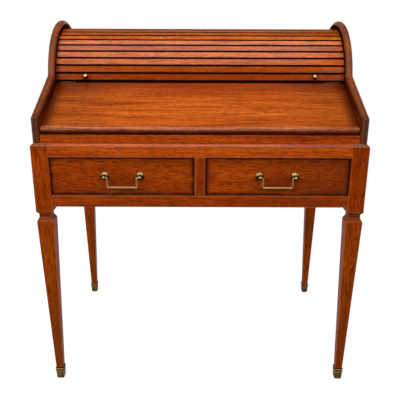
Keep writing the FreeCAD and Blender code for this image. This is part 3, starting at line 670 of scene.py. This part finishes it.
def bail_shape(middle):
    """A round rod carried along the bail's line, which bends squarely at four corners."""
    legs = pull_spacing / 2 - bail_leg_inset
    ends = pull_spacing / 2 + bail_end_reach
    route = [(-ends, 0.0), (-legs, 0.0), (-legs, -bail_drop), (legs, -bail_drop), (legs, 0.0), (ends, 0.0)]
    line, across, _ = eased_path(route, bail_bend, closed=False, steps=6)
    angle = np.linspace(0, 2 * np.pi, rod_sides, endpoint=False)
    ring = np.stack((np.cos(angle), np.sin(angle)), axis=-1)
    out = np.stack((across[:, :1] * ring[:, 0], np.broadcast_to(ring[:, 1], (len(line), len(ring))),
                    across[:, 1:] * ring[:, 0]), axis=-1)
    centre = np.array(middle) + np.stack((line[:, 0], 0 * line[:, 0], line[:, 1]), axis=-1)
    points = centre[:, None] + bail_rod_radius * out
    # the rod is brighter on its front, where hands rub it, and on its top: a painted highlight
    return closed_rings(points, out, np.clip(bail_shine + out[..., 2] - out[..., 1], 0, 1))


for hand in ("left", "right"):
    body = "drawer_" + hand
    low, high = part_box(body + "_front")
    middle_x, middle_z = (low.x + high.x) / 2, (low.z + high.z) / 2
    feet = [Vector((middle_x + place, low.y, middle_z)) for place in (-pull_spacing / 2, pull_spacing / 2)]
    posts = [darkened_below(turned(ball_profile(stem_radius, pull_reach, ball_radius), foot)) for foot in feet]
    roses = [rose_shape(foot) for foot in feet]
    make_piece(body + "_pull_posts", "brass", joined(posts + roses), body, pull_brass)
    bail = bail_shape((middle_x, low.y - pull_reach, middle_z))
    make_piece(body + "_bail", "brass", bail, "bail_" + hand, pull_brass)


# Case sides
# Two mahogany boards sawn to a gallery that slopes up into a half-round arch. The rim is worked to a
# full round, and a circular groove inside each board is the track that the tambour's ends run in.

# the sides' near-black marked colour is painted shade on the inner face inside the arch
CASE_MAHOGANY = dict(pale="#8E3306", deep="#712603", streak="#4F1600", pore="#360B00", worn_or_painted_light="#0C0300",
                     wear_or_painted_light=1.0, rub_or_painted_range=(0.0, 0.2))
RIM_MAHOGANY = dict(pale="#984611", deep="#7A350B", streak="#481C06", pore="#331202", worn_or_painted_light="#A9663F")
arch_radius = 0.190
gallery_front_height = 0.0695
gallery_nose_radius = 0.007
gallery_cove_radius = 0.012
gallery_meet = math.radians(13)
rim_radius = 0.0098
tambour_margin = 0.024
slat_thickness = 0.009
track_fit = 0.0005
track_depth = 0.007
track_first, track_last = math.radians(4.3), math.radians(220.5)
rim_worn_leans = (0.25, 0.9)
rim_wear = 0.6
arch_shade = 0.77
on_arch_margin = 0.0005
arch_steps = 80
cove_steps = 10
nose_steps = 8
track_steps = 72
side_low, side_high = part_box("case_side_right")
gallery_front_top = side_low.z + gallery_front_height
rim_darker = (
    (1, -0.11, -0.25, 0.28, "#331202"),  # down the gallery's slope
    (1, side_low.y + 0.018, side_low.y + 0.009, 0.8, "#381703"))  # on its front edge
side_mahogany = timber("satin_mahogany_sides", 1, roughness=(0.5, 0.6), specular=0.0, **CASE_MAHOGANY)
rim_mahogany = timber("polished_mahogany_rims", 1, roughness=(0.42, 0.52), specular=0.24, darker=rim_darker,
                      **RIM_MAHOGANY)
arch_centre = np.array((side_high.y - arch_radius, side_high.z - arch_radius))
tambour_radius = arch_radius - tambour_margin
slat_inner_radius = tambour_radius - slat_thickness


def circle(centre, radius, first, last, steps):
    """Points on a circle and the directions out to them. Angles count from the front over the top."""
    angle = np.linspace(first, last, steps)
    out = np.stack((-np.cos(angle), np.sin(angle)), axis=-1)
    return centre + radius * out, out


def side_outline():
    """The board's edge from its back foot over the arch to its front foot: straight runs, the arch, the
    hollow that the slope runs into it by, and the rounded corner at the front."""
    front = np.array((side_low.y, gallery_front_top))
    meet = circle(arch_centre, arch_radius, gallery_meet, gallery_meet, 1)[0][0]
    along = (meet - front) / np.linalg.norm(meet - front)
    up = np.array((-along[1], along[0]))
    base = front + up * gallery_cove_radius
    reach = arch_radius + gallery_cove_radius
    across = (arch_centre - base) @ up
    cove = base + along * ((arch_centre - base) @ along - math.sqrt(reach ** 2 - across ** 2))
    to_arch = (arch_centre - cove) / reach
    arch_first = math.atan2(-to_arch[1], to_arch[0])
    arch, arch_out = circle(arch_centre, arch_radius, math.pi, arch_first, arch_steps)
    cove_first, cove_last = math.atan2(to_arch[1], to_arch[0]), math.atan2(-up[1], -up[0])
    cove_angle = np.linspace(cove_first, cove_last, cove_steps)
    cove_out = np.stack((np.cos(cove_angle), np.sin(cove_angle)), axis=-1)
    turn = math.pi / 2 - math.atan2(along[1], along[0])
    cut = gallery_nose_radius * math.tan(turn / 2)
    nose_centre = front + (gallery_nose_radius, -cut)
    nose, nose_out = circle(nose_centre, gallery_nose_radius, turn, 0, nose_steps)
    feet = np.array([(side_high.y, side_low.z), (side_low.y, side_low.z)])
    points = np.concatenate((feet[:1], arch, cove + gallery_cove_radius * cove_out, nose, feet[1:]))
    normals = np.concatenate(([(1.0, 0.0)], arch_out, -cove_out, nose_out, [(-1.0, 0.0)]))
    return points, normals, np.zeros(len(points))


def side_shape():
    """The right-hand board: its outline drawn in along a quarter circle at both faces, with the track
    sunk in the inner face."""
    body = carried(side_outline(), side_low.x, side_high.x, 0, rim_radius, steps=6)
    count = len(body.faces[-1])
    on_rim = np.clip(np.abs(body.normals[:, 0]), 0, 1)
    edge = np.where((on_rim > rim_worn_leans[0]) & (on_rim < rim_worn_leans[1]), rim_wear, 0.0)
    rim = body.points[:count]
    track_inner, track_outer = slat_inner_radius - track_fit, tambour_radius + track_fit
    inner, inner_out = circle(arch_centre, track_inner, track_first, track_last, track_steps)
    outer, outer_out = circle(arch_centre, track_outer, track_last, track_first, track_steps)
    slot = np.concatenate((inner, outer))
    toward = np.concatenate((inner_out, -outer_out))
    depths = (side_low.x, side_low.x + track_depth)
    mouth, floor = [np.insert(slot, 0, depth, axis=1) for depth in depths]
    start = len(body.points)
    inside = np.concatenate((rim, mouth))
    triangles = np.array(tessellate_polygon([rim.tolist(), mouth.tolist()]))
    first, second, third = inside[triangles[0]]
    if np.cross(second - first, third - first)[0] > 0:
        triangles = triangles[:, ::-1]
    face = (triangles + start).tolist()
    flat = np.tile((-1.0, 0.0, 0.0), (len(slot), 1))
    walls = np.insert(toward, 0, 0.0, axis=1)
    points = np.concatenate((body.points, inside, mouth, floor, floor))
    normals = np.concatenate((body.normals, np.tile((-1.0, 0.0, 0.0), (len(inside), 1)), walls, walls, flat))
    ring = wrapped(2, len(slot))
    wall_faces = [[corner + start + len(inside) for corner in quad] for quad in ring]
    bed = list(range(start + len(inside) + 2 * len(slot), len(points)))
    on_arch = np.linalg.norm(rim[:, 1:] - arch_centre, axis=1) > arch_radius - rim_radius - on_arch_margin
    above_front = rim[:, 2] > arch_centre[1] + arch_radius * math.sin(gallery_meet)
    over_tambour = np.repeat((0.0, 1.0), len(slot) // 2)
    # painted shade on the inner face between the arch's rim and the tambour, and over the track's outer side
    edge = np.concatenate((edge, arch_shade * (on_arch & above_front), np.tile(over_tambour, 4)))
    rim_quads = body.faces[:-2]
    faces = rim_quads + [body.faces[-1]] + face + wall_faces + [bed]
    return Shape(points, normals, edge, faces), len(rim_quads)


def finish_faces(made, material, chosen):
    """Give the chosen faces of a piece a second finish."""
    made.data.materials.append(material)
    made.data.polygons.foreach_set("material_index", chosen.astype(np.int32))


side_board, rim_faces = side_shape()
for hand, board in (("right", side_board), ("left", mirrored(side_board))):
    side = make_piece("case_side_" + hand, "mahogany", board, "desk", side_mahogany)
    finish_faces(side, rim_mahogany, np.arange(len(board.faces)) <= rim_faces)


# Boards of the case
# The case's bottom, the rail under the lid's front edge, the board behind the well and the rail that
# carries the lid's hinges: mahogany, polished in front and satin inside. The hinge rail is painted near
# black, and the front rail's top dark: painted shade in the gaps at the lid's back and front.

well_rail_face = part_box("well_front_rail")[0].y
well_rail_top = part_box("well_front_rail")[1].z
WELL_MAHOGANY = dict(pale="#BE4E08", deep="#A33C05", streak="#6F2402", pore="#4B1601", worn_or_painted_light="#C98650")
# painted shade: the front rail is painted dark on its top and down into the gap under the lid's front edge
well_darker = (
    (1, well_rail_face + 0.001, well_rail_face + 0.0026, 1.0, "#4B1601"),  # on its top, behind the arris
    (2, well_rail_top - 0.004, well_rail_top - 0.001, 0.95, "#1E0700"))  # in the gap under the lid
well_mahogany = timber("polished_mahogany_well_rail", 0, specular=0.15, streak_size=(0.2, 0.0034),
                       darker=well_darker, **WELL_MAHOGANY)
INSIDE_MAHOGANY = dict(pale="#8E4516", deep="#783610", streak="#5C260A", pore="#431A06", worn_or_painted_light="#9A6038",
                       roughness=(0.42, 0.55), specular=0.3)
inside_mahogany = timber("satin_mahogany_inside", 0, **INSIDE_MAHOGANY)
inside_upright = timber("satin_mahogany_uprights", 2, **INSIDE_MAHOGANY)
# painted shade: the hinge rail is near black for the shadowed gap between the lid and the tambour
hinge_rail_mahogany = timber("shade_dark_mahogany_hinge_rail", 0, pale="#2E0E02", deep="#240A01", streak="#180600",
                             pore="#120400", worn_or_painted_light="#2E0E02", roughness=(0.5, 0.6), specular=0.0)
finish_nodes(["well_front_rail"], well_mahogany)
finish_nodes(["well_back", "compartment_floor", "case_bottom"], inside_mahogany)
finish_nodes(["hinge_rail"], hinge_rail_mahogany)


# Writing lid
# One wide mahogany board with a rounded front edge, hung on two brass butt hinges at its back. It is
# darker and browner towards its ends, with painted shade towards its back, beside the galleries, in its
# back corners and under its front edge, and a painted highlight along the top of that edge.

hinge_brass = aged_brass("browned_hinge_brass", "#6E5430", "#3C2A14", roughness=(0.35, 0.5), patch=0.004)
lid_thickness = 0.018
lid_front_height = 0.0385
lid_front_setback = 0.0065
lid_nose_radius = 0.007
lid_back_radius = 0.004
lid_foot_radius = 0.001
lid_guard = 0.0018
lid_mesh = frame["nodes"]["writing_lid"].data
lid_corners = np.empty((len(lid_mesh.vertices), 3), np.float32)
lid_mesh.vertices.foreach_get("co", lid_corners.ravel())
lid_back = lid_corners[lid_corners[:, 2].argmax()].astype(float)
lid_front_y = side_low.y + lid_front_setback
lid_nose_top = frame_top + lid_front_height
lid_slope = math.atan2(lid_back[2] - lid_nose_top, lid_back[1] - lid_front_y)
lid_length = (lid_back[1] - lid_front_y) / math.cos(lid_slope)
lid_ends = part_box("writing_lid")[1].x
# painted shade from the tambour, darker towards the back
lid_darker = [(1, -0.165, -0.068, 0.8, "#8A2600")]  # towards the back
lid_corner_shade = []
for hand in (-1, 1):
    lid_darker += [
        (0, hand * 0.15, hand * 0.43, 0.34, "#5C3A1C"),  # from the middle to the end
        # painted shade beside each gallery, with some soiling
        (0, hand * (lid_ends - 0.040), hand * lid_ends, 0.85, "#2E0C02")]  # beside the gallery
    # painted shade in the back corners, between the galleries and the tambour
    back_corner = (hand * lid_ends, lid_back[1], 0.0)
    lid_corner_shade.append((back_corner, (0.24, 0.07, all_over), 0.55, "#3A0E00"))
lid_darker += [
    (1, lid_front_y + 0.014, lid_front_y + 0.006, 0.7, "#BC7556"),  # a painted highlight round the front edge
    (2, lid_nose_top - 0.002, lid_nose_top - 0.007, 0.9, "#8A360A")]  # painted shade down its lower half
# painted shade fades off the back edge, and comes in round the front edge to its underside
back_shade_fade = (0.7, 0.35, 0.1)
nose_shade = 0.5
LID_MAHOGANY = dict(pale="#D6681B", deep="#B44B08", streak="#782A03", pore="#5C1D02", worn_or_painted_light="#200A02",
                    wear_or_painted_light=1.0, roughness=(0.14, 0.22), specular=0.14, streak_size=(0.2, 0.0034))
lid_mahogany = timber("polished_mahogany_lid", 0, darker=lid_darker, shade_spots=lid_corner_shade, **LID_MAHOGANY)


def lid_shape():
    """The board's section, counted forwards from its back and up from its top, carried along X."""
    places = np.array([(0, 0), (lid_length, 0), (lid_length, -lid_thickness), (0, -lid_thickness)])
    forward, up = places.T
    y = lid_back[1] - forward * math.cos(lid_slope) - up * math.sin(lid_slope)
    z = lid_back[2] - forward * math.sin(lid_slope) + up * math.cos(lid_slope)
    radii = (lid_back_radius, lid_nose_radius, lid_nose_radius, lid_foot_radius)
    points, normals, edge = eased_path(np.stack((y, z), axis=1), radii, steps=8, guard=lid_guard)
    shade_and_dirt = np.zeros((len(places), len(edge) // len(places)))
    back_arc, nose_arc, under_arc = shade_and_dirt[:3]
    back_arc[:6] = 1.0
    back_arc[6:9] = back_shade_fade
    nose_arc[4:] = np.linspace(0.0, nose_shade, len(nose_arc) - 4)
    under_arc[:-1] = np.linspace(nose_shade, 1.0, len(under_arc) - 1)
    low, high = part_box("writing_lid")
    return carried((points, normals, shade_and_dirt.ravel()), low.x, high.x, 0, lid_foot_radius)


make_piece("writing_lid", "mahogany", lid_shape(), "lid", lid_mahogany)
finish_nodes(["lid_hinge_lid_leaves", "lid_hinge_rail_leaves", "lid_hinge_pins"], hinge_brass)


# Back and stationery rack
# A flat mahogany back below and a bent one above, which the open tambour slides down behind, and a rack
# of pigeonholes that stands on the compartment's floor.

finish_nodes(["case_back", "bent_back", "rack_top", "rack_back"], inside_mahogany)
finish_nodes(["rack_dividers"], inside_upright)


# Tambour
# Straight mahogany slats glued to canvas, which bends between them, so that the whole curtain runs round
# the circular track. Each slat is planed with rounded outer edges, and the grooves between them are dark
# and matt: soiling, with painted shade.

TAMBOUR_MAHOGANY = dict(pale="#DE6C14", deep="#CA5C0D", streak="#7C2D05", pore="#5A1D02", worn_or_painted_light="#200A02",
                        wear_or_painted_light=1.0, roughness=(0.15, 0.22), rub_or_painted_range=(0.0, 0.3))
tambour_mahogany = timber("polished_mahogany_slats", 0, specular=0.42, **TAMBOUR_MAHOGANY)
groove_mahogany = timber("shaded_dirty_mahogany_grooves", 0, specular=0.0, **TAMBOUR_MAHOGANY)
slat_width = 0.0213
slat_edge_radius = 0.0032
slat_back_radius = 0.0006
slat_guard = 0.001
slat_gap = 0.0003
groove_shade_reach = 0.0034
matt_from = 0.3
slat_pitch = (slat_width + slat_gap) / slat_inner_radius
tambour_first = math.radians(7.3)
slat_tones = (0.82, 0.60, 0.18, 0.08, 0.50, 0.05, 0.0, 0.36, 0.14, 0.14)


def swung(shape, angle):
    """Turn a shape that was made at the front of the arch along its circle, towards the top."""
    turn = np.array(Matrix.Rotation(-angle, 3, "X"))
    axis = np.array((0.0, *arch_centre))
    return Shape((shape.points - axis) @ turn.T + axis, shape.normals @ turn.T, shape.edge, shape.faces)


def slat_shape(reach):
    """A slat's rounded section at the front of the circle, carried along X. Its edge mark is painted shade
    with some soiling, which deepens towards its two long edges."""
    outer, inner = arch_centre[0] - tambour_radius, arch_centre[0] - slat_inner_radius
    low, high = arch_centre[1] - slat_width / 2, arch_centre[1] + slat_width / 2
    radii = (slat_edge_radius, slat_back_radius, slat_back_radius, slat_edge_radius)
    corners = [(outer, low), (inner, low), (inner, high), (outer, high)]
    points, normals, _ = eased_path(corners, radii, steps=10, guard=slat_guard)
    from_edge = slat_width / 2 - np.abs(points[:, 1] - (low + high) / 2)
    shade_and_dirt = np.clip((groove_shade_reach - from_edge) / groove_shade_reach * 2, 0, 1)
    return carried((points, normals, shade_and_dirt), -reach, reach, 0, slat_back_radius)


slat_nodes = [name for name in frame["record"]["behaviour"]["bodies"]["tambour"]
              if name.startswith(("tambour_lead", "tambour_slat"))]
slat = slat_shape(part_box("tambour_lead_rail")[1].x)
flat_ends = (False, False)
in_groove = np.append(slat.edge[np.array(slat.faces[:-2])].min(axis=1) > matt_from, flat_ends)
for order, node in enumerate(sorted(slat_nodes)):
    angle = tambour_first + (order + 0.5) * slat_pitch
    made = make_piece(node, "mahogany", swung(slat, angle), "tambour", tambour_mahogany,
                      tone=slat_tones[order % len(slat_tones)])
    finish_faces(made, groove_mahogany, in_groove)


# Tambour canvas
# A strip of plain-woven cotton duck glued across the backs of the slats, which holds them together.
# Its threads show as a fine even basket of overs and unders.

canvas_thickness = 0.0008
canvas_fit = 0.0001
canvas_end_gap = 0.002
thread_spacing = 0.0011
canvas_steps = 64
# a wave texture's own wavelength at a scale of 1
wave_length = 0.314


def canvas_shape(low_x, high_x, first, last):
    """A strip between two circles about the arch's axis, carried along X."""
    outside = slat_inner_radius - canvas_fit
    outer, outer_out = circle(arch_centre, outside, last, first, canvas_steps)
    inner, inner_out = circle(arch_centre, outside - canvas_thickness, first, last, canvas_steps)
    points = np.concatenate((outer, inner))
    outline = (points, np.concatenate((outer_out, -inner_out)), np.zeros(len(points)))
    return carried(outline, low_x, high_x, 0, canvas_thickness / 4, steps=1)


def woven_canvas():
    """Cotton duck: two sets of threads, one along the desk and one round the bend, drawn from the
    strip's own map in metres. Matt, with a soft nap."""
    material, tree, shader = new_material("woven_cotton_duck")
    flat = add_node(tree, "UVMap", uv_map="cut").outputs[0]
    scale = wave_length / thread_spacing
    along, across = [
        add_node(tree, "TexWave", {"Vector": flat, "Scale": scale, "Distortion": 0.0}, bands_direction=way)
        for way in ("X", "Y")]
    weave = add_node(tree, "Math", {
        0: along.outputs["Fac"], 1: across.outputs["Fac"]}, operation="MULTIPLY").outputs[0]
    colour = add_node(tree, "Mix", {0: weave, 6: linear("#8E7A58"), 7: linear("#C7B691")}, data_type="RGBA")
    relief = add_node(tree, "Bump", {"Height": weave, "Strength": 0.5, "Distance": 0.0004})
    feed(tree, shader, {"Base Color": colour.outputs[2], "Roughness": 0.9, "Sheen Weight": 0.2,
                        "Normal": relief.outputs[0]})
    return material


canvas_low, canvas_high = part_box("tambour_canvas")
end_angle = canvas_end_gap / (slat_inner_radius - canvas_fit)
tambour_last = tambour_first + len(slat_nodes) * slat_pitch
strip = canvas_shape(canvas_low.x, canvas_high.x, tambour_first + end_angle, tambour_last - end_angle)
canvas = make_piece("tambour_canvas", "cotton", strip, "tambour", woven_canvas())
x, y, z = strip.points[np.concatenate(strip.faces)].T
arc_place = np.arctan2(z - arch_centre[1], arch_centre[0] - y)
cut_map = np.stack((x, arc_place * slat_inner_radius), axis=1)
canvas.data.uv_layers.new(name="cut").data.foreach_set("uv", cut_map.astype(np.float32).ravel())


# Tambour knobs
# Two small turned brass knobs screwed to the lead rail: a foot, a neck and a ball. Hands keep their tops
# bright, their feet have browned, and their undersides are darker: tarnish with painted shade.

knob_brass = aged_brass("polished_knob_brass", "#DECC96", "#2A1F0A", roughness=(0.34, 0.5), patch=0.004,
                        rub_or_painted_light=(1.0, 0.72, 1.2))
knob_place = 0.337
knob_radius = 0.0074
knob_base_radius = 0.0052
knob_base_height = 0.002
knob_neck_radius = 0.0028
knob_neck_height = 0.0034
knob_ease = 0.0005


def knob_shape(x):
    """The knob's outline turned about its axis at the front of the circle."""
    first = -math.acos(knob_neck_radius / knob_radius)
    centre = knob_neck_height - knob_radius * math.sin(first)
    foot = eased_path([(knob_base_radius, 0.0), (knob_base_radius, knob_base_height),
                       (knob_neck_radius, knob_base_height), (knob_neck_radius, knob_neck_height)],
                      knob_ease, closed=False, steps=3)
    ball = ball_profile(knob_neck_radius, centre, knob_radius, steps=18)
    profile = [np.concatenate((a, b[2:])) for a, b in zip(foot, ball)]
    return darkened_below(turned(profile, (x, arch_centre[0] - tambour_radius, arch_centre[1])))


knobs = joined([knob_shape(-knob_place), knob_shape(knob_place)])
on_lead_rail = swung(knobs, tambour_first + slat_pitch / 2)
make_piece("tambour_knobs", "brass", on_lead_rail, "tambour", knob_brass)


# Studio
# The desk stands on white paper in a white room, under two broad soft lamps overhead. Two more light its
# front and two smaller ones its back. The camera's side of the room is dim, so polish reflects little.

floor_reach = 9.0
floor_sides = 96
paper_edge = (-0.75, -0.55)
paper_fades = (1.0, 2.4)
shadow_share = 0.3
glow_by_desk = 1.22
paper_share = 0.32
front_share = 0.25
room_share = 0.03
wall_begins = (0.0, 0.3)
wall_ends = (0.30, 0.15)
front_middle = (0.0, -0.3, 0.65)
back_middle = (0.0, 0.2, 0.7)
front_box = (1.6, 1.2)
rear_box = (1.4, 1.2)


def seen_by(tree, glossy_share):
    """1 for rays from the camera and through glass, and a given share for reflections."""
    path = add_node(tree, "LightPath").outputs
    mirrored_share = add_node(tree, "Math", {0: path["Is Glossy Ray"], 1: glossy_share}, operation="MULTIPLY")
    direct = add_node(tree, "Math", {
        0: path["Is Camera Ray"], 1: path["Is Transmission Ray"]}, operation="MAXIMUM")
    return add_node(tree, "Math", {
        0: direct.outputs[0], 1: mirrored_share.outputs[0]}, operation="MAXIMUM").outputs[0]


def white_paper():
    """Matt white paper that shows as white to the eye and in reflections, but for the dim front. Near the
    desk a share of its own shading shows, and its glow makes up for that share where no shadow falls."""
    material, tree, shader = new_material("white_paper_floor")
    tree.nodes.remove(shader)
    place = add_node(tree, "TexCoord").outputs["Object"]
    into_room = add_node(tree, "SeparateXYZ", {0: place}).outputs["Y"]
    away = add_node(tree, "VectorMath", {0: place}, operation="LENGTH").outputs["Value"]
    # each begins with its own share, by the camera or by the desk, and comes to 1 further away
    fades = ((into_room, paper_edge, front_share), (away, paper_fades, glow_by_desk),
             (away, paper_fades, 1 - shadow_share))
    lit_share, strength, glow_share = [
        add_node(tree, "MapRange", {
            "Value": value, "From Min": near, "From Max": far, "To Min": first_share}).outputs[0]
        for value, (near, far), first_share in fades]
    lit = add_node(tree, "BsdfDiffuse", {"Color": linear("#F2F2F2")}).outputs[0]
    glow = add_node(tree, "Emission", {"Strength": strength}).outputs[0]
    shown = add_node(tree, "MixShader", {0: glow_share, 1: lit, 2: glow}).outputs[0]
    dimmed = add_node(tree, "Math", {0: lit_share, 1: paper_share}, operation="MULTIPLY").outputs[0]
    dim = add_node(tree, "BsdfDiffuse", {"Color": dimmed}).outputs[0]
    mixed = add_node(tree, "MixShader", {0: seen_by(tree, lit_share), 1: dim, 2: shown}).outputs[0]
    feed(tree, tree.nodes["Material Output"], {"Surface": mixed})
    return material


around = np.linspace(0, 2 * np.pi, floor_sides, endpoint=False)
floor_points = np.stack((floor_reach * np.cos(around), floor_reach * np.sin(around), 0 * around), axis=1)
floor_mesh = bpy.data.meshes.new("paper_floor")
floor_mesh.from_pydata(floor_points.tolist(), [], [list(range(len(around)))])
floor_mesh.materials.append(white_paper())
paper_floor = bpy.data.objects.new("paper_floor", floor_mesh)
bpy.context.scene.collection.objects.link(paper_floor)


def softbox(name, place, target, size, power, in_polish=True):
    """An oblong soft lamp that faces a target. In polish says whether glossy wood reflects it. A lamp that
    hangs overhead aims a millimetre off plumb, which settles the way its oblong lies."""
    lamp = bpy.data.lights.new(name, "AREA")
    lamp.shape = "RECTANGLE"
    lamp.size, lamp.size_y = size
    lamp.energy = power
    made = bpy.data.objects.new(name, lamp)
    made.location = place
    made.rotation_euler = (Vector(target) - Vector(place)).to_track_quat("-Z", "Y").to_euler()
    made.visible_camera = False
    made.visible_glossy = in_polish
    bpy.context.scene.collection.objects.link(made)


softbox("overhead_softbox", (-0.1, -0.85, 3.2), (-0.1, -0.849, 0.0), (2.1, 2.7), 42.0)
softbox("back_softbox", (-0.1, 2.25, 3.2), (-0.1, 2.251, 0.0), (2.1, 3.5), 4.0)
softbox("left_softbox", (-2.9, -3.75, 2.9), front_middle, front_box, 135.0)
softbox("right_softbox", (2.8, -3.85, 2.9), front_middle, front_box, 108.0)
softbox("rear_left_softbox", (-2.9, 2.9, 0.9), back_middle, rear_box, 60.0, in_polish=False)
softbox("rear_right_softbox", (2.9, 2.9, 0.9), back_middle, rear_box, 60.0, in_polish=False)


def white_room():
    """A room that shows as white behind the desk and dim in front of it, and gives little light itself."""
    world = bpy.data.worlds.new("white_room")
    world.use_nodes = True
    tree = world.node_tree
    way = add_node(tree, "TexCoord").outputs["Generated"]
    _, into_room, upwards = add_node(tree, "SeparateXYZ", {0: way}).outputs
    behind, low = [add_node(tree, "MapRange", {
        "Value": value, "From Min": dim, "From Max": white, "To Min": room_share}).outputs[0]
        for value, (dim, white) in ((into_room, wall_begins), (upwards, wall_ends))]
    wall = add_node(tree, "Math", {0: behind, 1: low}, operation="MULTIPLY").outputs[0]
    strength = add_node(tree, "Math", {0: seen_by(tree, wall), 1: room_share}, operation="MAXIMUM").outputs[0]
    feed(tree, tree.nodes["Background"], {"Color": linear("#FFFFFF"), "Strength": strength})
    return world


bpy.context.scene.world = white_room()
bpy.context.scene.view_settings.view_transform = "Standard"

# The camera stands in front of the desk, level with its top, and looks slightly down.
camera_place = (0.0005, -1.6934, 1.0486)
camera_pitch = math.radians(18.36)
camera_roll = math.radians(0.2)
camera_lens = 48.56
camera = bpy.data.objects.new("camera", bpy.data.cameras.new("camera"))
camera.data.lens = camera_lens
camera.location = camera_place
level = Matrix.Rotation(math.pi / 2 - camera_pitch, 3, "X")
camera.rotation_euler = (level @ Matrix.Rotation(camera_roll, 3, "Z")).to_euler()
bpy.context.scene.collection.objects.link(camera)
bpy.context.scene.camera = camera
